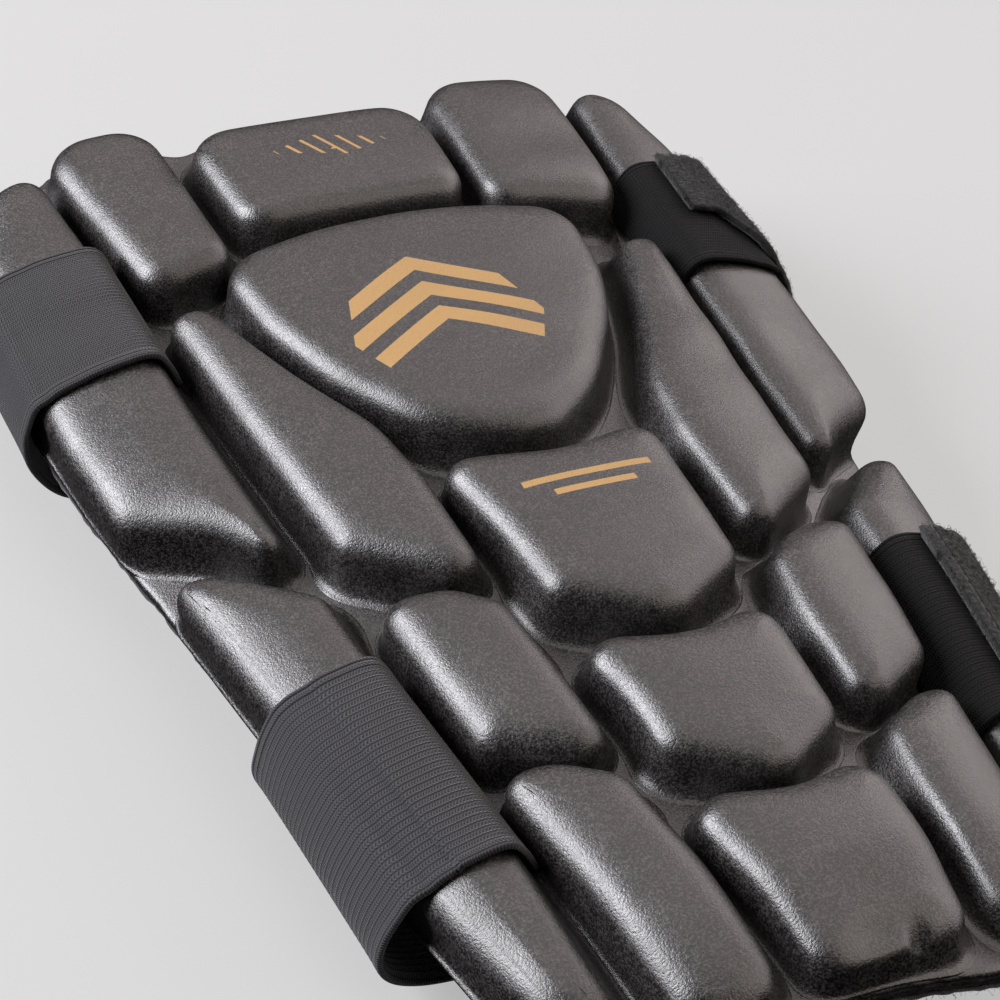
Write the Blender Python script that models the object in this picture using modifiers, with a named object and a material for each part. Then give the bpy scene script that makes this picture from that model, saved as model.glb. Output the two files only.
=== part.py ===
"""Forearm guard: a moulded foam panel with raised pads, a thin lining and two elastic straps.

The guard lies face up on its two straps. X runs across the forearm, +Y towards the elbow and
+Z out of the padded face. The origin is the centre of the bounding box on the surface it lies on.

Every piece of the shell is laid out on the panel's skin in sheet coordinates: across (from the
centre line, positive to the right), along (towards the elbow) and lift (out of the skin). The skin
bends round the forearm, more tightly at the wrist, and skin_point() carries a sheet point to space.
Sizes in the tables are millimetres.
"""
import math
from collections import namedtuple

import bmesh
import bpy
import numpy as np

MM = 0.001

# The bend of the skin round the forearm, per millimetre across, and how it eases towards the elbow
BEND = 0.0045
BEND_EASE = -0.0000231
HINGE_START = 40.0
HINGE_WIDTH = 24.0
HINGE_ANGLE = 0.03
BEND_STEPS = 24

# Panel and lining
PANEL_THICKNESS = 3.5
LINING_THICKNESS = 1.0
GAP = 0.3
PANEL_COLUMNS = 20
PANEL_ROWS = 18
ELBOW_END = 123.5
GROOVE_NOTCHES = (32.0, 69.0)
NOTCH_DEPTH = 4.0
NOTCH_WIDTH = 5.0

# Pads
PAD_HEIGHT = 12.0
STRAP_PRESS = 1.2
WRIST_ROLL = 2.8
FOOT_OFFSET = 6.5
FOOT_LEAST = 0.8
FOOT_CLEARANCE = 0.45
RIM_CLEARANCE = 0.4
INSET_LIMIT = 0.9
CAP_STEP = 12.0
OUTLINE_STEP = 11.0
ARC_STEP = math.radians(36)
LEAST_TURN = math.radians(15)

# Straps
STRAP_THICKNESS = 1.6
BAND_LIFT = 0.35
TAB_THICKNESS = 1.9
GROUND = -32.6
STRAP_FLOOR = GROUND + STRAP_THICKNESS

# Moves sheet space to the part's own frame: the ground to Z = 0 and the middle of the length to Y = 0
ALONG_SHIFT = 14.12

Corner = namedtuple("Corner", "across along radius")
Rim = namedtuple("Rim", "along half_width")
WristEdge = namedtuple("WristEdge", "across along")
Wall = namedtuple("Wall", "outward foot_share lift")
Course = namedtuple("Course", "beside lift")
Fall = namedtuple("Fall", "across_low across_high height_low height_high")
StrapEdge = namedtuple("StrapEdge", "along inner outer")

HALF_WIDTHS = (
    Rim(-152, 49), Rim(-148, 54), Rim(-143, 58.5), Rim(-135, 62), Rim(-120, 66.8), Rim(-100, 70.6),
    Rim(-80, 74), Rim(-60, 77.3), Rim(-44, 79.9), Rim(-20, 83.4), Rim(0, 86.8), Rim(20, 90),
    Rim(40, 92), Rim(60, 92.8), Rim(80, 92.6), Rim(100, 91), Rim(110, 87.5), Rim(118, 82),
    Rim(124, 74),
)
WRIST_EDGE = (
    WristEdge(-60, -142), WristEdge(-40, -149), WristEdge(-14, -148.5), WristEdge(0, -149.5),
    WristEdge(18, -152), WristEdge(40, -150), WristEdge(60, -142),
)

# From above the foot of a pad's wall to the rim of its flat top. Outward is from the crown edge, at
# most the share of the foot's spread. Lift is a share of the pad's height.
WALL_PROFILE = (Wall(2.5, 0.68, 0.25), Wall(1.3, 0.36, 0.66), Wall(-0.3, 0.0, 0.93), Wall(-4.0, 0.0, 1.0))

# Outlines at the middle of the rounded crown edge. Corners go round anticlockwise from above.
CENTRE = {
    "pad_centre_1": (
        Corner(-31.2, 77.5, 7), Corner(20.6, 77.8, 7), Corner(22.0, 112.5, 9),
        Corner(-33.8, 112.3, 9),
    ),
    "pad_centre_2": (
        Corner(0, -7.0, 12), Corner(16.5, 5.0, 50), Corner(31.4, 28.3, 60), Corner(37.8, 45, 50),
        Corner(40.2, 66.3, 9.5), Corner(20, 69.8, 80), Corner(0, 70.8, 90), Corner(-20, 70.0, 80),
        Corner(-42.4, 64.8, 9.5), Corner(-39.6, 43, 50), Corner(-34.2, 24.8, 60),
        Corner(-20.3, -0.2, 50),
    ),
    "pad_centre_3": (
        Corner(-1.0, -63.6, 6), Corner(19.0, -51.4, 5), Corner(19.9, -30, 100),
        Corner(20.9, -9.9, 5), Corner(0, -15.2, 30), Corner(-24.3, -9.6, 4), Corner(-20.2, -30, 60),
        Corner(-18.8, -50.9, 5),
    ),
    "pad_centre_4": (
        Corner(-0.6, -105.4, 6), Corner(16.0, -95.0, 5), Corner(16.4, -80, 100),
        Corner(17.2, -66.0, 5), Corner(0, -71.0, 30), Corner(-20.6, -64.2, 4),
        Corner(-16.9, -80, 60), Corner(-16.7, -93.3, 5),
    ),
    "pad_centre_5": (
        Corner(0, -145.6, 60), Corner(12.6, -144.6, 8), Corner(14.9, -130, 80),
        Corner(16.1, -106.4, 5.5), Corner(0, -111.2, 30), Corner(-19.6, -105.0, 4.5),
        Corner(-15.2, -130, 80), Corner(-12.8, -144.6, 8),
    ),
}
# The left side's outlines are written as seen in a mirror, and turned over to their own side.
LEFT_SIDE = {
    "pad_inner_left_1": (
        Corner(39.2, 68.2, 5.5), Corner(57.2, 65.2, 6), Corner(65.5, 119.6, 10),
        Corner(42, 119.3, 9),
    ),
    "pad_inner_left_2": (
        Corner(28.3, -43.0, 3.5), Corner(49.4, -22.5, 4), Corner(53.8, 20, 200),
        Corner(57.0, 54, 3), Corner(50.2, 54, 3), Corner(41.5, 28, 60), Corner(31.5, 5, 30),
        Corner(29.2, -10, 30),
    ),
    "pad_inner_left_3": (
        Corner(25.6, -90.5, 3.5), Corner(44.8, -78.3, 4), Corner(46.6, -62, 200),
        Corner(48.6, -39.3, 4), Corner(36, -42.2, 8), Corner(29.2, -49, 4), Corner(27.3, -64, 60),
    ),
    "pad_inner_left_4": (
        Corner(22.8, -146, 6), Corner(37.8, -145, 6), Corner(40.5, -116, 200),
        Corner(45.0, -86.6, 4), Corner(36, -88.0, 10), Corner(27.0, -95.5, 5),
        Corner(23.5, -118, 80),
    ),
    "pad_outer_left_1": (
        Corner(58.8, -19.5, 2.5), Corner(68.6, -5, 60), Corner(84.4, 6.8, 6), Corner(87.3, 30, 80),
        Corner(88.7, 62, 150), Corner(87.0, 92, 40), Corner(80, 109, 12), Corner(70, 111.5, 5),
        Corner(66.2, 78, 100), Corner(62.6, 20, 200), Corner(60.4, -6, 60),
    ),
    "pad_outer_left_2": (
        Corner(48.3, -138.6, 5), Corner(57.6, -134, 8), Corner(63.4, -111, 60),
        Corner(66.6, -96, 80), Corner(74.2, -51, 100), Corner(78.0, -28, 60),
        Corner(80.2, -13.6, 4), Corner(73.5, -15, 16), Corner(57.4, -31.5, 4),
        Corner(56.2, -46, 60), Corner(50, -102, 200),
    ),
}
RIGHT_SIDE = {
    "pad_inner_right_1": (
        Corner(26.6, 74.2, 6), Corner(56.8, 69.8, 7), Corner(59.2, 94, 60), Corner(59.4, 120.5, 9),
        Corner(29.2, 120.3, 9),
    ),
    "pad_inner_right_2": (
        Corner(28.9, -44.5, 3), Corner(50.6, -28.5, 4), Corner(54.4, 20, 200), Corner(57.0, 54, 3),
        Corner(50.2, 54, 3), Corner(41.5, 28, 60), Corner(31.5, 5, 30), Corner(29.2, -12, 30),
    ),
    "pad_inner_right_3": (
        Corner(25.2, -93.5, 3.5), Corner(44.8, -82.2, 4), Corner(47.2, -64, 100),
        Corner(49.0, -44.6, 5), Corner(41, -45, 8), Corner(34.5, -47.8, 6), Corner(28.2, -53.5, 4),
        Corner(26.0, -68, 60),
    ),
    "pad_inner_right_4": (
        Corner(22.8, -146, 6), Corner(37.8, -145, 6), Corner(40.4, -118, 200),
        Corner(43.9, -92.2, 4), Corner(36.5, -93.6, 10), Corner(26.0, -100.5, 5),
        Corner(23.3, -120, 80),
    ),
    "pad_outer_right_1": (
        Corner(59.2, -24.8, 2.5), Corner(68.2, -11.5, 60), Corner(84.8, -2.2, 6),
        Corner(86.9, 14, 80), Corner(86.7, 36, 80), Corner(84.6, 62, 150), Corner(82.6, 90, 40),
        Corner(77.5, 111.5, 14), Corner(67.5, 115.2, 5), Corner(64.6, 80, 100),
        Corner(61.4, 20, 200), Corner(60.0, -8, 60),
    ),
    "pad_outer_right_2": (
        Corner(48.3, -138.6, 5), Corner(57.6, -134, 8), Corner(63.4, -111, 60),
        Corner(66.6, -96, 80), Corner(74.2, -53, 100), Corner(77.0, -38, 60),
        Corner(78.2, -21.5, 6), Corner(72.5, -22.0, 14), Corner(58.0, -37.0, 4),
        Corner(56.4, -50, 60), Corner(50, -102, 200),
    ),
}

# The course of a band over an outer pad: distance from the pad's crown edge, and lift over it
INNER_COURSE = (
    Course(-3.4, -8.6), Course(-2.3, -5.3), Course(-1.25, -2.1), Course(-0.3, -0.55), Course(1.5, 0.1),
    Course(4.6, BAND_LIFT + 0.1),
)
OUTER_COURSE = (Course(-7.0, BAND_LIFT), Course(-3.0, BAND_LIFT - 0.05), Course(-0.7, 0.0))

# How each strap leaves the outer pad and falls to the ground, at its wrist edge and its elbow edge
UPPER_FALL = (
    Fall(90.6, 90.8, -4.6, -1.2), Fall(91.9, 92.4, -8.6, -6.2), Fall(92.5, 93.2, -13.0, -12.2),
    Fall(91.8, 92.6, -18.0, -17.6), Fall(89.0, 89.7, -23.2, -23.0), Fall(84.6, 85.2, -27.8, -27.7),
    Fall(78.0, 78.4, -30.4, -30.4), Fall(69.0, 69.4, STRAP_FLOOR + 0.04, STRAP_FLOOR + 0.04),
    Fall(61.0, 61.0, STRAP_FLOOR, STRAP_FLOOR), Fall(50.0, 50.0, STRAP_FLOOR, STRAP_FLOOR),
)
UPPER_FALL_RIGHT = (
    Fall(89.0, 86.4, -4.4, -1.6), Fall(91.2, 89.6, -8.6, -6.0), Fall(92.4, 92.0, -13.0, -12.0),
    Fall(91.8, 92.6, -18.0, -17.6), Fall(89.0, 89.7, -23.2, -23.0), Fall(84.6, 85.2, -27.8, -27.7),
    Fall(78.0, 78.4, -30.4, -30.4), Fall(69.0, 69.4, STRAP_FLOOR + 0.04, STRAP_FLOOR + 0.04),
    Fall(61.0, 61.0, STRAP_FLOOR, STRAP_FLOOR), Fall(50.0, 50.0, STRAP_FLOOR, STRAP_FLOOR),
)
LOWER_FALL = (
    Fall(68.9, 76.9, -6.4, -6.8), Fall(71.0, 78.1, -10.2, -10.5), Fall(72.9, 78.3, -14.8, -14.8),
    Fall(73.5, 77.9, -19.4, -19.4), Fall(72.6, 76.6, -23.0, -22.9), Fall(69.8, 73.6, -26.6, -26.4),
    Fall(64.4, 67.6, -29.4, -29.4), Fall(57.0, 60.0, -30.7, -30.7),
    Fall(49.0, 51.0, STRAP_FLOOR + 0.02, STRAP_FLOOR + 0.02), Fall(41.0, 42.0, STRAP_FLOOR, STRAP_FLOOR),
    Fall(32.0, 32.0, STRAP_FLOOR, STRAP_FLOOR),
)
UPPER_EDGES = (StrapEdge(42.0, 64.2, 87.9), StrapEdge(80.0, 66.2, 88.3))
UPPER_EDGES_RIGHT = (StrapEdge(42.0, 62.8, 86.1), StrapEdge(80.0, 64.8, 83.2))
LOWER_EDGES = (StrapEdge(-101.6, 50.1, 65.5), StrapEdge(-51.6, 55.9, 74.0))
STRAP_SEAM = {"upper": 2, "lower": 2}
TAB_REACH = {"upper": 3.6, "lower": 4.2}
ACROSS_STEPS = 3

FINISHES = {
    "moulded_foam": ((0.045, 0.041, 0.040), 0.42, 0.0),
    "pad_foam": ((0.052, 0.047, 0.045), 0.40, 0.0),
    "lining_cloth": ((0.030, 0.030, 0.032), 0.90, 0.0),
    "elastic_grey": ((0.045, 0.045, 0.048), 0.85, 0.0),
    "elastic_black": ((0.014, 0.014, 0.015), 0.88, 0.0),
    "loop_pile": ((0.018, 0.018, 0.019), 0.95, 0.0),
}


def smooth(value):
    """Ease a share from 0 to 1."""
    share = np.clip(value, 0.0, 1.0)
    return share * share * (3.0 - 2.0 * share)


def skin_angle(across, along):
    """Lean of the skin away from level, in radians."""
    hinge = HINGE_ANGLE * np.sign(across) * smooth((np.abs(across) - HINGE_START) / HINGE_WIDTH)
    return (BEND + BEND_EASE * along) * across + hinge


def skin_point(across, along, lift):
    """Carry sheet coordinates in millimetres to the part's frame in metres."""
    across, along, lift = np.broadcast_arrays(
        np.asarray(across, float), np.asarray(along, float), np.asarray(lift, float))
    middles = (np.arange(BEND_STEPS) + 0.5) / BEND_STEPS
    lean = skin_angle(across[..., None] * middles, along[..., None])
    x = np.cos(lean).mean(-1) * across
    z = -np.sin(lean).mean(-1) * across
    end = skin_angle(across, along)
    return place(x + lift * np.sin(end), along, z + lift * np.cos(end))


def place(x, along, z):
    """Move millimetres in sheet space to the part's frame in metres."""
    x, along, z = np.broadcast_arrays(x, along, z)
    return np.stack([x, along + ALONG_SHIFT, z - GROUND], -1) * MM


def pad_height(along):
    """Height of the pads: they are pressed a little under the lower strap and roll off at the wrist."""
    return (PAD_HEIGHT - STRAP_PRESS * smooth((-60.0 - along) / 40.0)
            - WRIST_ROLL * smooth((-125.0 - along) / 25.0))


def half_width(along):
    """Half the panel's width at a station along it."""
    stations = [row.along for row in HALF_WIDTHS]
    return np.interp(along, stations, [row.half_width for row in HALF_WIDTHS])


def wrist_end(across):
    """Station of the trimmed wrist edge."""
    return np.interp(across, [row.across for row in WRIST_EDGE], [row.along for row in WRIST_EDGE])


def elbow_end(across):
    """Station of the elbow edge, with a notch at each groove."""
    return ELBOW_END - sum(NOTCH_DEPTH * np.exp(-((np.abs(across) - spot) / NOTCH_WIDTH) ** 2)
                           for spot in GROOVE_NOTCHES)


def rounded_outline(corners):
    """Points round a polygon whose corners are arcs, with long straights split."""
    count = len(corners)
    spots = np.array([(corner.across, corner.along) for corner in corners], float)
    arcs = []
    for index, corner in enumerate(corners):
        here = spots[index]
        back = spots[index - 1] - here
        ahead = spots[(index + 1) % count] - here
        back_length, ahead_length = np.linalg.norm(back), np.linalg.norm(ahead)
        back, ahead = back / back_length, ahead / ahead_length
        half_angle = math.acos(np.clip(back @ ahead, -1.0, 1.0)) / 2.0
        reach = min(corner.radius / math.tan(half_angle), 0.45 * min(back_length, ahead_length))
        radius = reach * math.tan(half_angle)
        centre = here + (back + ahead) / np.linalg.norm(back + ahead) * radius / math.sin(half_angle)
        turn = math.pi - 2.0 * half_angle
        if turn < LEAST_TURN:
            arcs.append(here[None])
            continue
        steps = max(1, round(turn / ARC_STEP))
        first, last = here + back * reach - centre, here + ahead * reach - centre
        sign = 1.0 if first[0] * last[1] - first[1] * last[0] > 0 else -1.0
        start = math.atan2(first[1], first[0])
        angles = start + sign * turn * np.arange(steps + 1) / steps
        arcs.append(centre + radius * np.stack([np.cos(angles), np.sin(angles)], 1))
    points = []
    for index, arc in enumerate(arcs):
        points.extend(arc)
        gap = arcs[(index + 1) % count][0] - arc[-1]
        pieces = int(np.linalg.norm(gap) // OUTLINE_STEP)
        points.extend(arc[-1] + gap * step / (pieces + 1) for step in range(1, pieces + 1))
    return np.array(points)


def left_copy(corners):
    """A mirrored outline turned over to the left, still anticlockwise."""
    return tuple(Corner(-c.across, c.along, c.radius) for c in reversed(corners))


def outward_normals(points):
    """Unit normals of a closed anticlockwise outline."""
    tangents = np.roll(points, -1, 0) - np.roll(points, 1, 0)
    normals = np.stack([tangents[:, 1], -tangents[:, 0]], 1)
    return normals / np.linalg.norm(normals, axis=1, keepdims=True)


def inner_reach(points, normals):
    """Radius of the largest circle inside the outline that touches it at each point."""
    apart = points[None] - points[:, None]
    depth = -2.0 * (apart * normals[:, None]).sum(-1)
    distance = (apart ** 2).sum(-1)
    radius = np.where(depth > 0.001, distance / np.maximum(depth, 0.001), 1000.0)
    return radius.min(1)


def distance_to(points, outline):
    """Distance from each point to the nearest side of a closed outline."""
    start = outline[None]
    side = np.roll(outline, -1, 0)[None] - start
    apart = points[:, None] - start
    share = np.clip((apart * side).sum(-1) / (side ** 2).sum(-1), 0.0, 1.0)
    return np.linalg.norm(apart - share[..., None] * side, axis=-1).min(1)


def foot_offsets(name, outlines):
    """How far each wall spreads at its foot: less beside a close neighbour or the panel's rim."""
    points = outlines[name]
    nearest = np.min([distance_to(points, other) for key, other in outlines.items() if key != name], axis=0)
    across, along = points.T
    to_rim = np.minimum(half_width(along) - np.abs(across),
                        np.minimum(along - wrist_end(across), elbow_end(across) - along))
    room = np.minimum(nearest / 2.0 - FOOT_CLEARANCE, to_rim - RIM_CLEARANCE)
    return np.clip(room, FOOT_LEAST, FOOT_OFFSET)


def add_ring(mesh, across_along, lift):
    """Add a closed ring of vertices on the skin."""
    spots = skin_point(across_along[:, 0], across_along[:, 1], lift)
    return [mesh.verts.new(spot) for spot in spots]


def bridge(mesh, lower, upper):
    """Join two rings with quads that face out."""
    count = len(lower)
    for index in range(count):
        after = (index + 1) % count
        mesh.faces.new((lower[index], lower[after], upper[after], upper[index]))


def cap(mesh, ring, outline, lift_of, centre, up):
    """Close a ring towards a centre through smaller copies, so the cap follows the bent skin."""
    width = np.abs(outline[:, 0] - centre[0]).max()
    levels = max(1, math.ceil(width / CAP_STEP))
    for level in range(levels - 1, 0, -1):
        inner = centre + (outline - centre) * level / levels
        inner_ring = add_ring(mesh, inner, lift_of(inner[:, 1]))
        bridge(mesh, *((ring, inner_ring) if up else (inner_ring, ring)))
        ring = inner_ring
    hub = mesh.verts.new(skin_point(centre[0], centre[1], lift_of(centre[1])))
    for index in range(len(ring)):
        pair = (ring[index], ring[(index + 1) % len(ring)])
        mesh.faces.new((*pair, hub) if up else (*reversed(pair), hub))


def make_object(name, mesh, material, collection, root):
    """Turn a bmesh into a named object in the collection."""
    data = bpy.data.meshes.new(name)
    mesh.to_mesh(data)
    mesh.free()
    data.materials.append(material)
    data.shade_smooth()
    thing = bpy.data.objects.new(name, data)
    collection.objects.link(thing)
    thing.parent = root
    return thing


def add_pad(name, outlines, material, collection, root):
    """A pad: a loft from its spread foot up a sloping wall to a rounded crown and a flat top."""
    outline = outlines[name]
    normals = outward_normals(outline)
    reach = INSET_LIMIT * inner_reach(outline, normals)
    foot = foot_offsets(name, outlines)
    centre = (outline.max(0) + outline.min(0)) / 2.0
    mesh = bmesh.new()
    base = outline + normals * foot[:, None]
    ring = add_ring(mesh, base, GAP)
    cap(mesh, ring, base, lambda along: np.full_like(along, GAP), centre, up=False)
    for wall in WALL_PROFILE:
        if wall.outward > 0:
            offset = np.minimum(wall.outward, wall.foot_share * foot)
        else:
            offset = -np.minimum(-wall.outward, reach)
        level = outline + normals * offset[:, None]
        upper = add_ring(mesh, level, wall.lift * pad_height(level[:, 1]))
        bridge(mesh, ring, upper)
        ring = upper
    cap(mesh, ring, level, pad_height, centre, up=True)
    return make_object(name, mesh, material, collection, root)


def solidify(thing, thickness):
    """Give an open surface its thickness, below its face."""
    shell = thing.modifiers.new("thickness", "SOLIDIFY")
    shell.thickness = thickness * MM
    shell.offset = -1.0
    shell.use_even_offset = True


def grid_sheet(columns, rows, shape):
    """A grid of unit shares, each vertex carried to its place by shape(share_across, share_along)."""
    mesh = bmesh.new()
    bmesh.ops.create_grid(mesh, x_segments=columns, y_segments=rows, size=0.5)
    shares = np.array([(vert.co.x + 0.5, vert.co.y + 0.5) for vert in mesh.verts])
    spots = shape(shares[:, 0], shares[:, 1])
    for vert, spot in zip(mesh.verts, spots):
        vert.co = spot
    return mesh


def panel_spot(share_across, share_along, lift):
    """A point of the panel's face: rounded corners, a notch at each groove and a trimmed wrist edge."""
    side = 2.0 * share_across - 1.0
    eased = 0.5 - 0.5 * np.cos(math.pi * share_along)
    station = 0.5 * (share_along + eased)
    nominal = HALF_WIDTHS[0].along + station * (ELBOW_END - HALF_WIDTHS[0].along)
    across = side * half_width(nominal)
    low, high = wrist_end(across), elbow_end(across)
    along = low + station * (high - low)
    return skin_point(across, along, lift)


def add_panel(name, lift, thickness, material, collection, root):
    """The bent panel, or the lining that follows its back."""
    mesh = grid_sheet(PANEL_COLUMNS, PANEL_ROWS, lambda u, v: panel_spot(u, v, lift))
    thing = make_object(name, mesh, material, collection, root)
    solidify(thing, thickness)
    return thing


def edge_blend(edges, along):
    """Inner and outer crown edges of the outer pad at a station, and the share across the strap."""
    low, high = edges
    share = (along - low.along) / (high.along - low.along)
    return low.inner + share * (high.inner - low.inner), low.outer + share * (high.outer - low.outer), share


def over_pad(edges, along, raise_by=0.0):
    """Points of a band's inner face from the groove, over the outer pad, to its outer crown edge."""
    inner, outer, _ = edge_blend(edges, along)
    top = pad_height(np.float64(along)) + raise_by
    rows = [(inner + row.beside, top + row.lift) for row in INNER_COURSE]
    rows += [(outer + row.beside, top + row.lift) for row in OUTER_COURSE]
    across, lift = np.array(rows).T
    return skin_point(across, along, lift)


def fall(table, edges, along):
    """Points of a strap's inner face from the pad's outer side to the ground."""
    share = edge_blend(edges, along)[2]
    x = np.array([row.across_low + share * (row.across_high - row.across_low) for row in table])
    z = np.array([row.height_low + share * (row.height_high - row.height_low) for row in table])
    return place(x, along, z)


def flip(points):
    """Mirror points to the other side of the centre line."""
    return points * np.array([-1.0, 1.0, 1.0])


def along_curve(points, shares, start=0.0, end=1.0):
    """Points at shares of the way along a smooth curve through the given points."""
    steps = np.linalg.norm(np.diff(points, axis=0), axis=1)
    knots = np.concatenate([[0.0], np.cumsum(np.sqrt(steps))])
    slopes = np.gradient(points, knots, axis=0)
    where = knots[0] + (start + (end - start) * shares) * (knots[-1] - knots[0])
    index = np.clip(np.searchsorted(knots, where) - 1, 0, len(points) - 2)
    span = knots[index + 1] - knots[index]
    t = ((where - knots[index]) / span)[:, None]
    span = span[:, None]
    start_part = (2 * t ** 3 - 3 * t ** 2 + 1) * points[index] + (t ** 3 - 2 * t ** 2 + t) * span * slopes[index]
    end_part = (3 * t ** 2 - 2 * t ** 3) * points[index + 1] + (t ** 3 - t ** 2) * span * slopes[index + 1]
    return start_part + end_part


def add_band(name, course_of, stations, columns, thickness, material, collection, root):
    """A band swept along a course: course_of(along) gives the points of its inner face."""
    low, high = stations

    def shape(share_length, share_width):
        spots = np.zeros((len(share_length), 3))
        for share in np.unique(share_width.round(6)):
            picked = np.abs(share_width - share) < 1e-5
            course = course_of(low + share * (high - low))
            spots[picked] = along_curve(course, share_length[picked])
        return spots

    mesh = grid_sheet(columns, ACROSS_STEPS, shape)
    thing = make_object(name, mesh, material, collection, root)
    solidify(thing, thickness)
    return thing


def empty_scene():
    """Remove every object that the scene starts with."""
    for thing in list(bpy.data.objects):
        bpy.data.objects.remove(thing, do_unlink=True)


def make_material(name, colour, roughness, metallic):
    """A plain Principled material."""
    material = bpy.data.materials.new(name)
    material.use_nodes = True
    shader = material.node_tree.nodes["Principled BSDF"]
    shader.inputs["Base Color"].default_value = (*colour, 1.0)
    shader.inputs["Roughness"].default_value = roughness
    shader.inputs["Metallic"].default_value = metallic
    return material


def pad_outlines():
    """Every pad's outline by name."""
    outlines = {name: rounded_outline(corners) for name, corners in (CENTRE | RIGHT_SIDE).items()}
    outlines |= {name: rounded_outline(left_copy(corners)) for name, corners in LEFT_SIDE.items()}
    return outlines


def add_straps(finishes, collection, root):
    """Both elastic straps, their anchor bands and their hook-and-loop closure tabs."""
    for level, left, edges, left_table, table in (
            ("upper", UPPER_EDGES, UPPER_EDGES_RIGHT, UPPER_FALL, UPPER_FALL_RIGHT),
            ("lower", LOWER_EDGES, LOWER_EDGES, LOWER_FALL, LOWER_FALL)):
        stations = (edges[0].along, edges[1].along)
        seam = STRAP_SEAM[level]

        def strap_course(along, left=left, left_table=left_table, edges=edges, table=table, seam=seam):
            return np.concatenate([flip(over_pad(left, along)), flip(fall(left_table, left, along)),
                                   fall(table, edges, along)[seam:][::-1]])

        def anchor_course(along, edges=edges):
            return over_pad(edges, along)[:-2][::-1]

        def tab_course(along, edges=edges, table=table, seam=seam, level=level):
            reach = TAB_REACH[level]
            over = over_pad(edges, along, STRAP_THICKNESS + BAND_LIFT)
            down = fall(table, edges, along)[:seam + 1]
            inner = edge_blend(edges, along)[0]
            start = skin_point(inner + reach, along, pad_height(np.float64(along))
                               + STRAP_THICKNESS + 2.0 * BAND_LIFT)
            end = down[-1] + np.array([0.0, 0.0, GAP * MM])
            return np.concatenate([end[None], down[:-1][::-1], over[6:][::-1], start[None]])

        add_band(f"strap_{level}", strap_course, stations, 46, STRAP_THICKNESS,
                 finishes["elastic_grey"], collection, root)
        add_band(f"anchor_band_{level}", anchor_course, stations, 10, STRAP_THICKNESS,
                 finishes["elastic_black"], collection, root)
        add_band(f"closure_tab_{level}", tab_course, stations, 10, TAB_THICKNESS,
                 finishes["loop_pile"], collection, root)


def main():
    """Build the guard."""
    empty_scene()
    collection = bpy.data.collections.new("forearm_guard")
    bpy.context.scene.collection.children.link(collection)
    root = bpy.data.objects.new("forearm_guard_root", None)
    collection.objects.link(root)
    finishes = {name: make_material(name, *look) for name, look in FINISHES.items()}
    add_panel("flex_panel", 0.0, PANEL_THICKNESS, finishes["moulded_foam"], collection, root)
    add_panel("lining", -PANEL_THICKNESS - GAP, LINING_THICKNESS, finishes["lining_cloth"], collection, root)
    outlines = pad_outlines()
    for name in outlines:
        add_pad(name, outlines, finishes["pad_foam"], collection, root)
    add_straps(finishes, collection, root)


main()
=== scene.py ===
"""Looks of a moulded foam forearm guard: skin, pads, lining, elastic straps and fuzzy closure tabs.

Shapes are worked out in sheet coordinates, in millimetres: across from the centre line, along
towards the elbow and lift out of the skin. Skin.at() bends them round the forearm, in metres.
"""
import logging
import math
from dataclasses import dataclass, field
from enum import Enum
from typing import Any, Callable, Sequence

import bpy
import numpy as np
from mathutils import Matrix, Vector


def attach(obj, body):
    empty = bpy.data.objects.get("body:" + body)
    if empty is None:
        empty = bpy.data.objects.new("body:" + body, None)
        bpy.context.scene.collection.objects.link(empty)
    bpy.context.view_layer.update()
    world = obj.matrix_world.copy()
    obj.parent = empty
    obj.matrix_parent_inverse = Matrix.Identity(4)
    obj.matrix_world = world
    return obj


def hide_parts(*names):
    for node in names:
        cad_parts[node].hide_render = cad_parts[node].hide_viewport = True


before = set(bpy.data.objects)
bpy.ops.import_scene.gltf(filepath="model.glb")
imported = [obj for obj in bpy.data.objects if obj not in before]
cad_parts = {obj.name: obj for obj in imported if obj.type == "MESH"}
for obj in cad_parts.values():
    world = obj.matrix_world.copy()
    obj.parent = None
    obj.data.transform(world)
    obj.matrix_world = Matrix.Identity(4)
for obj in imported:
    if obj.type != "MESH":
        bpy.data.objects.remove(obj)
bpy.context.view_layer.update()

log = logging.getLogger("forearm_guard")
MM = 0.001
Array = np.ndarray


class Side(Enum):
    """Which side of the centre line a piece lies on."""

    LEFT = "left"
    RIGHT = "right"


class Level(Enum):
    """The strap nearer the elbow, or the one nearer the wrist."""

    UPPER = "upper"
    LOWER = "lower"


def smooth(value: Array) -> Array:
    """Ease a share from 0 to 1: 3 s squared less 2 s cubed.

    Args:
        value: any numbers; they are clipped to 0..1 first.
    Returns:
        The eased share.
    """
    share = np.clip(value, 0.0, 1.0)
    return share * share * (3.0 - 2.0 * share)


def cubic(t: Array, span: Array, ends: tuple[Array, Array], slopes: tuple[Array, Array]) -> Array:
    """A cubic piece from its two end values and end slopes, by the usual four Hermite weights.

    Args:
        t: shares of the piece, 0 to 1.
        span: the piece's length.
        ends: values at its start and end.
        slopes: slopes at its start and end.
    Returns:
        The values at t.
    """
    return ((2 * t ** 3 - 3 * t ** 2 + 1) * ends[0] + (t ** 3 - 2 * t ** 2 + t) * span * slopes[0]
            + (3 * t ** 2 - 2 * t ** 3) * ends[1] + (t ** 3 - t ** 2) * span * slopes[1])


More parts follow.
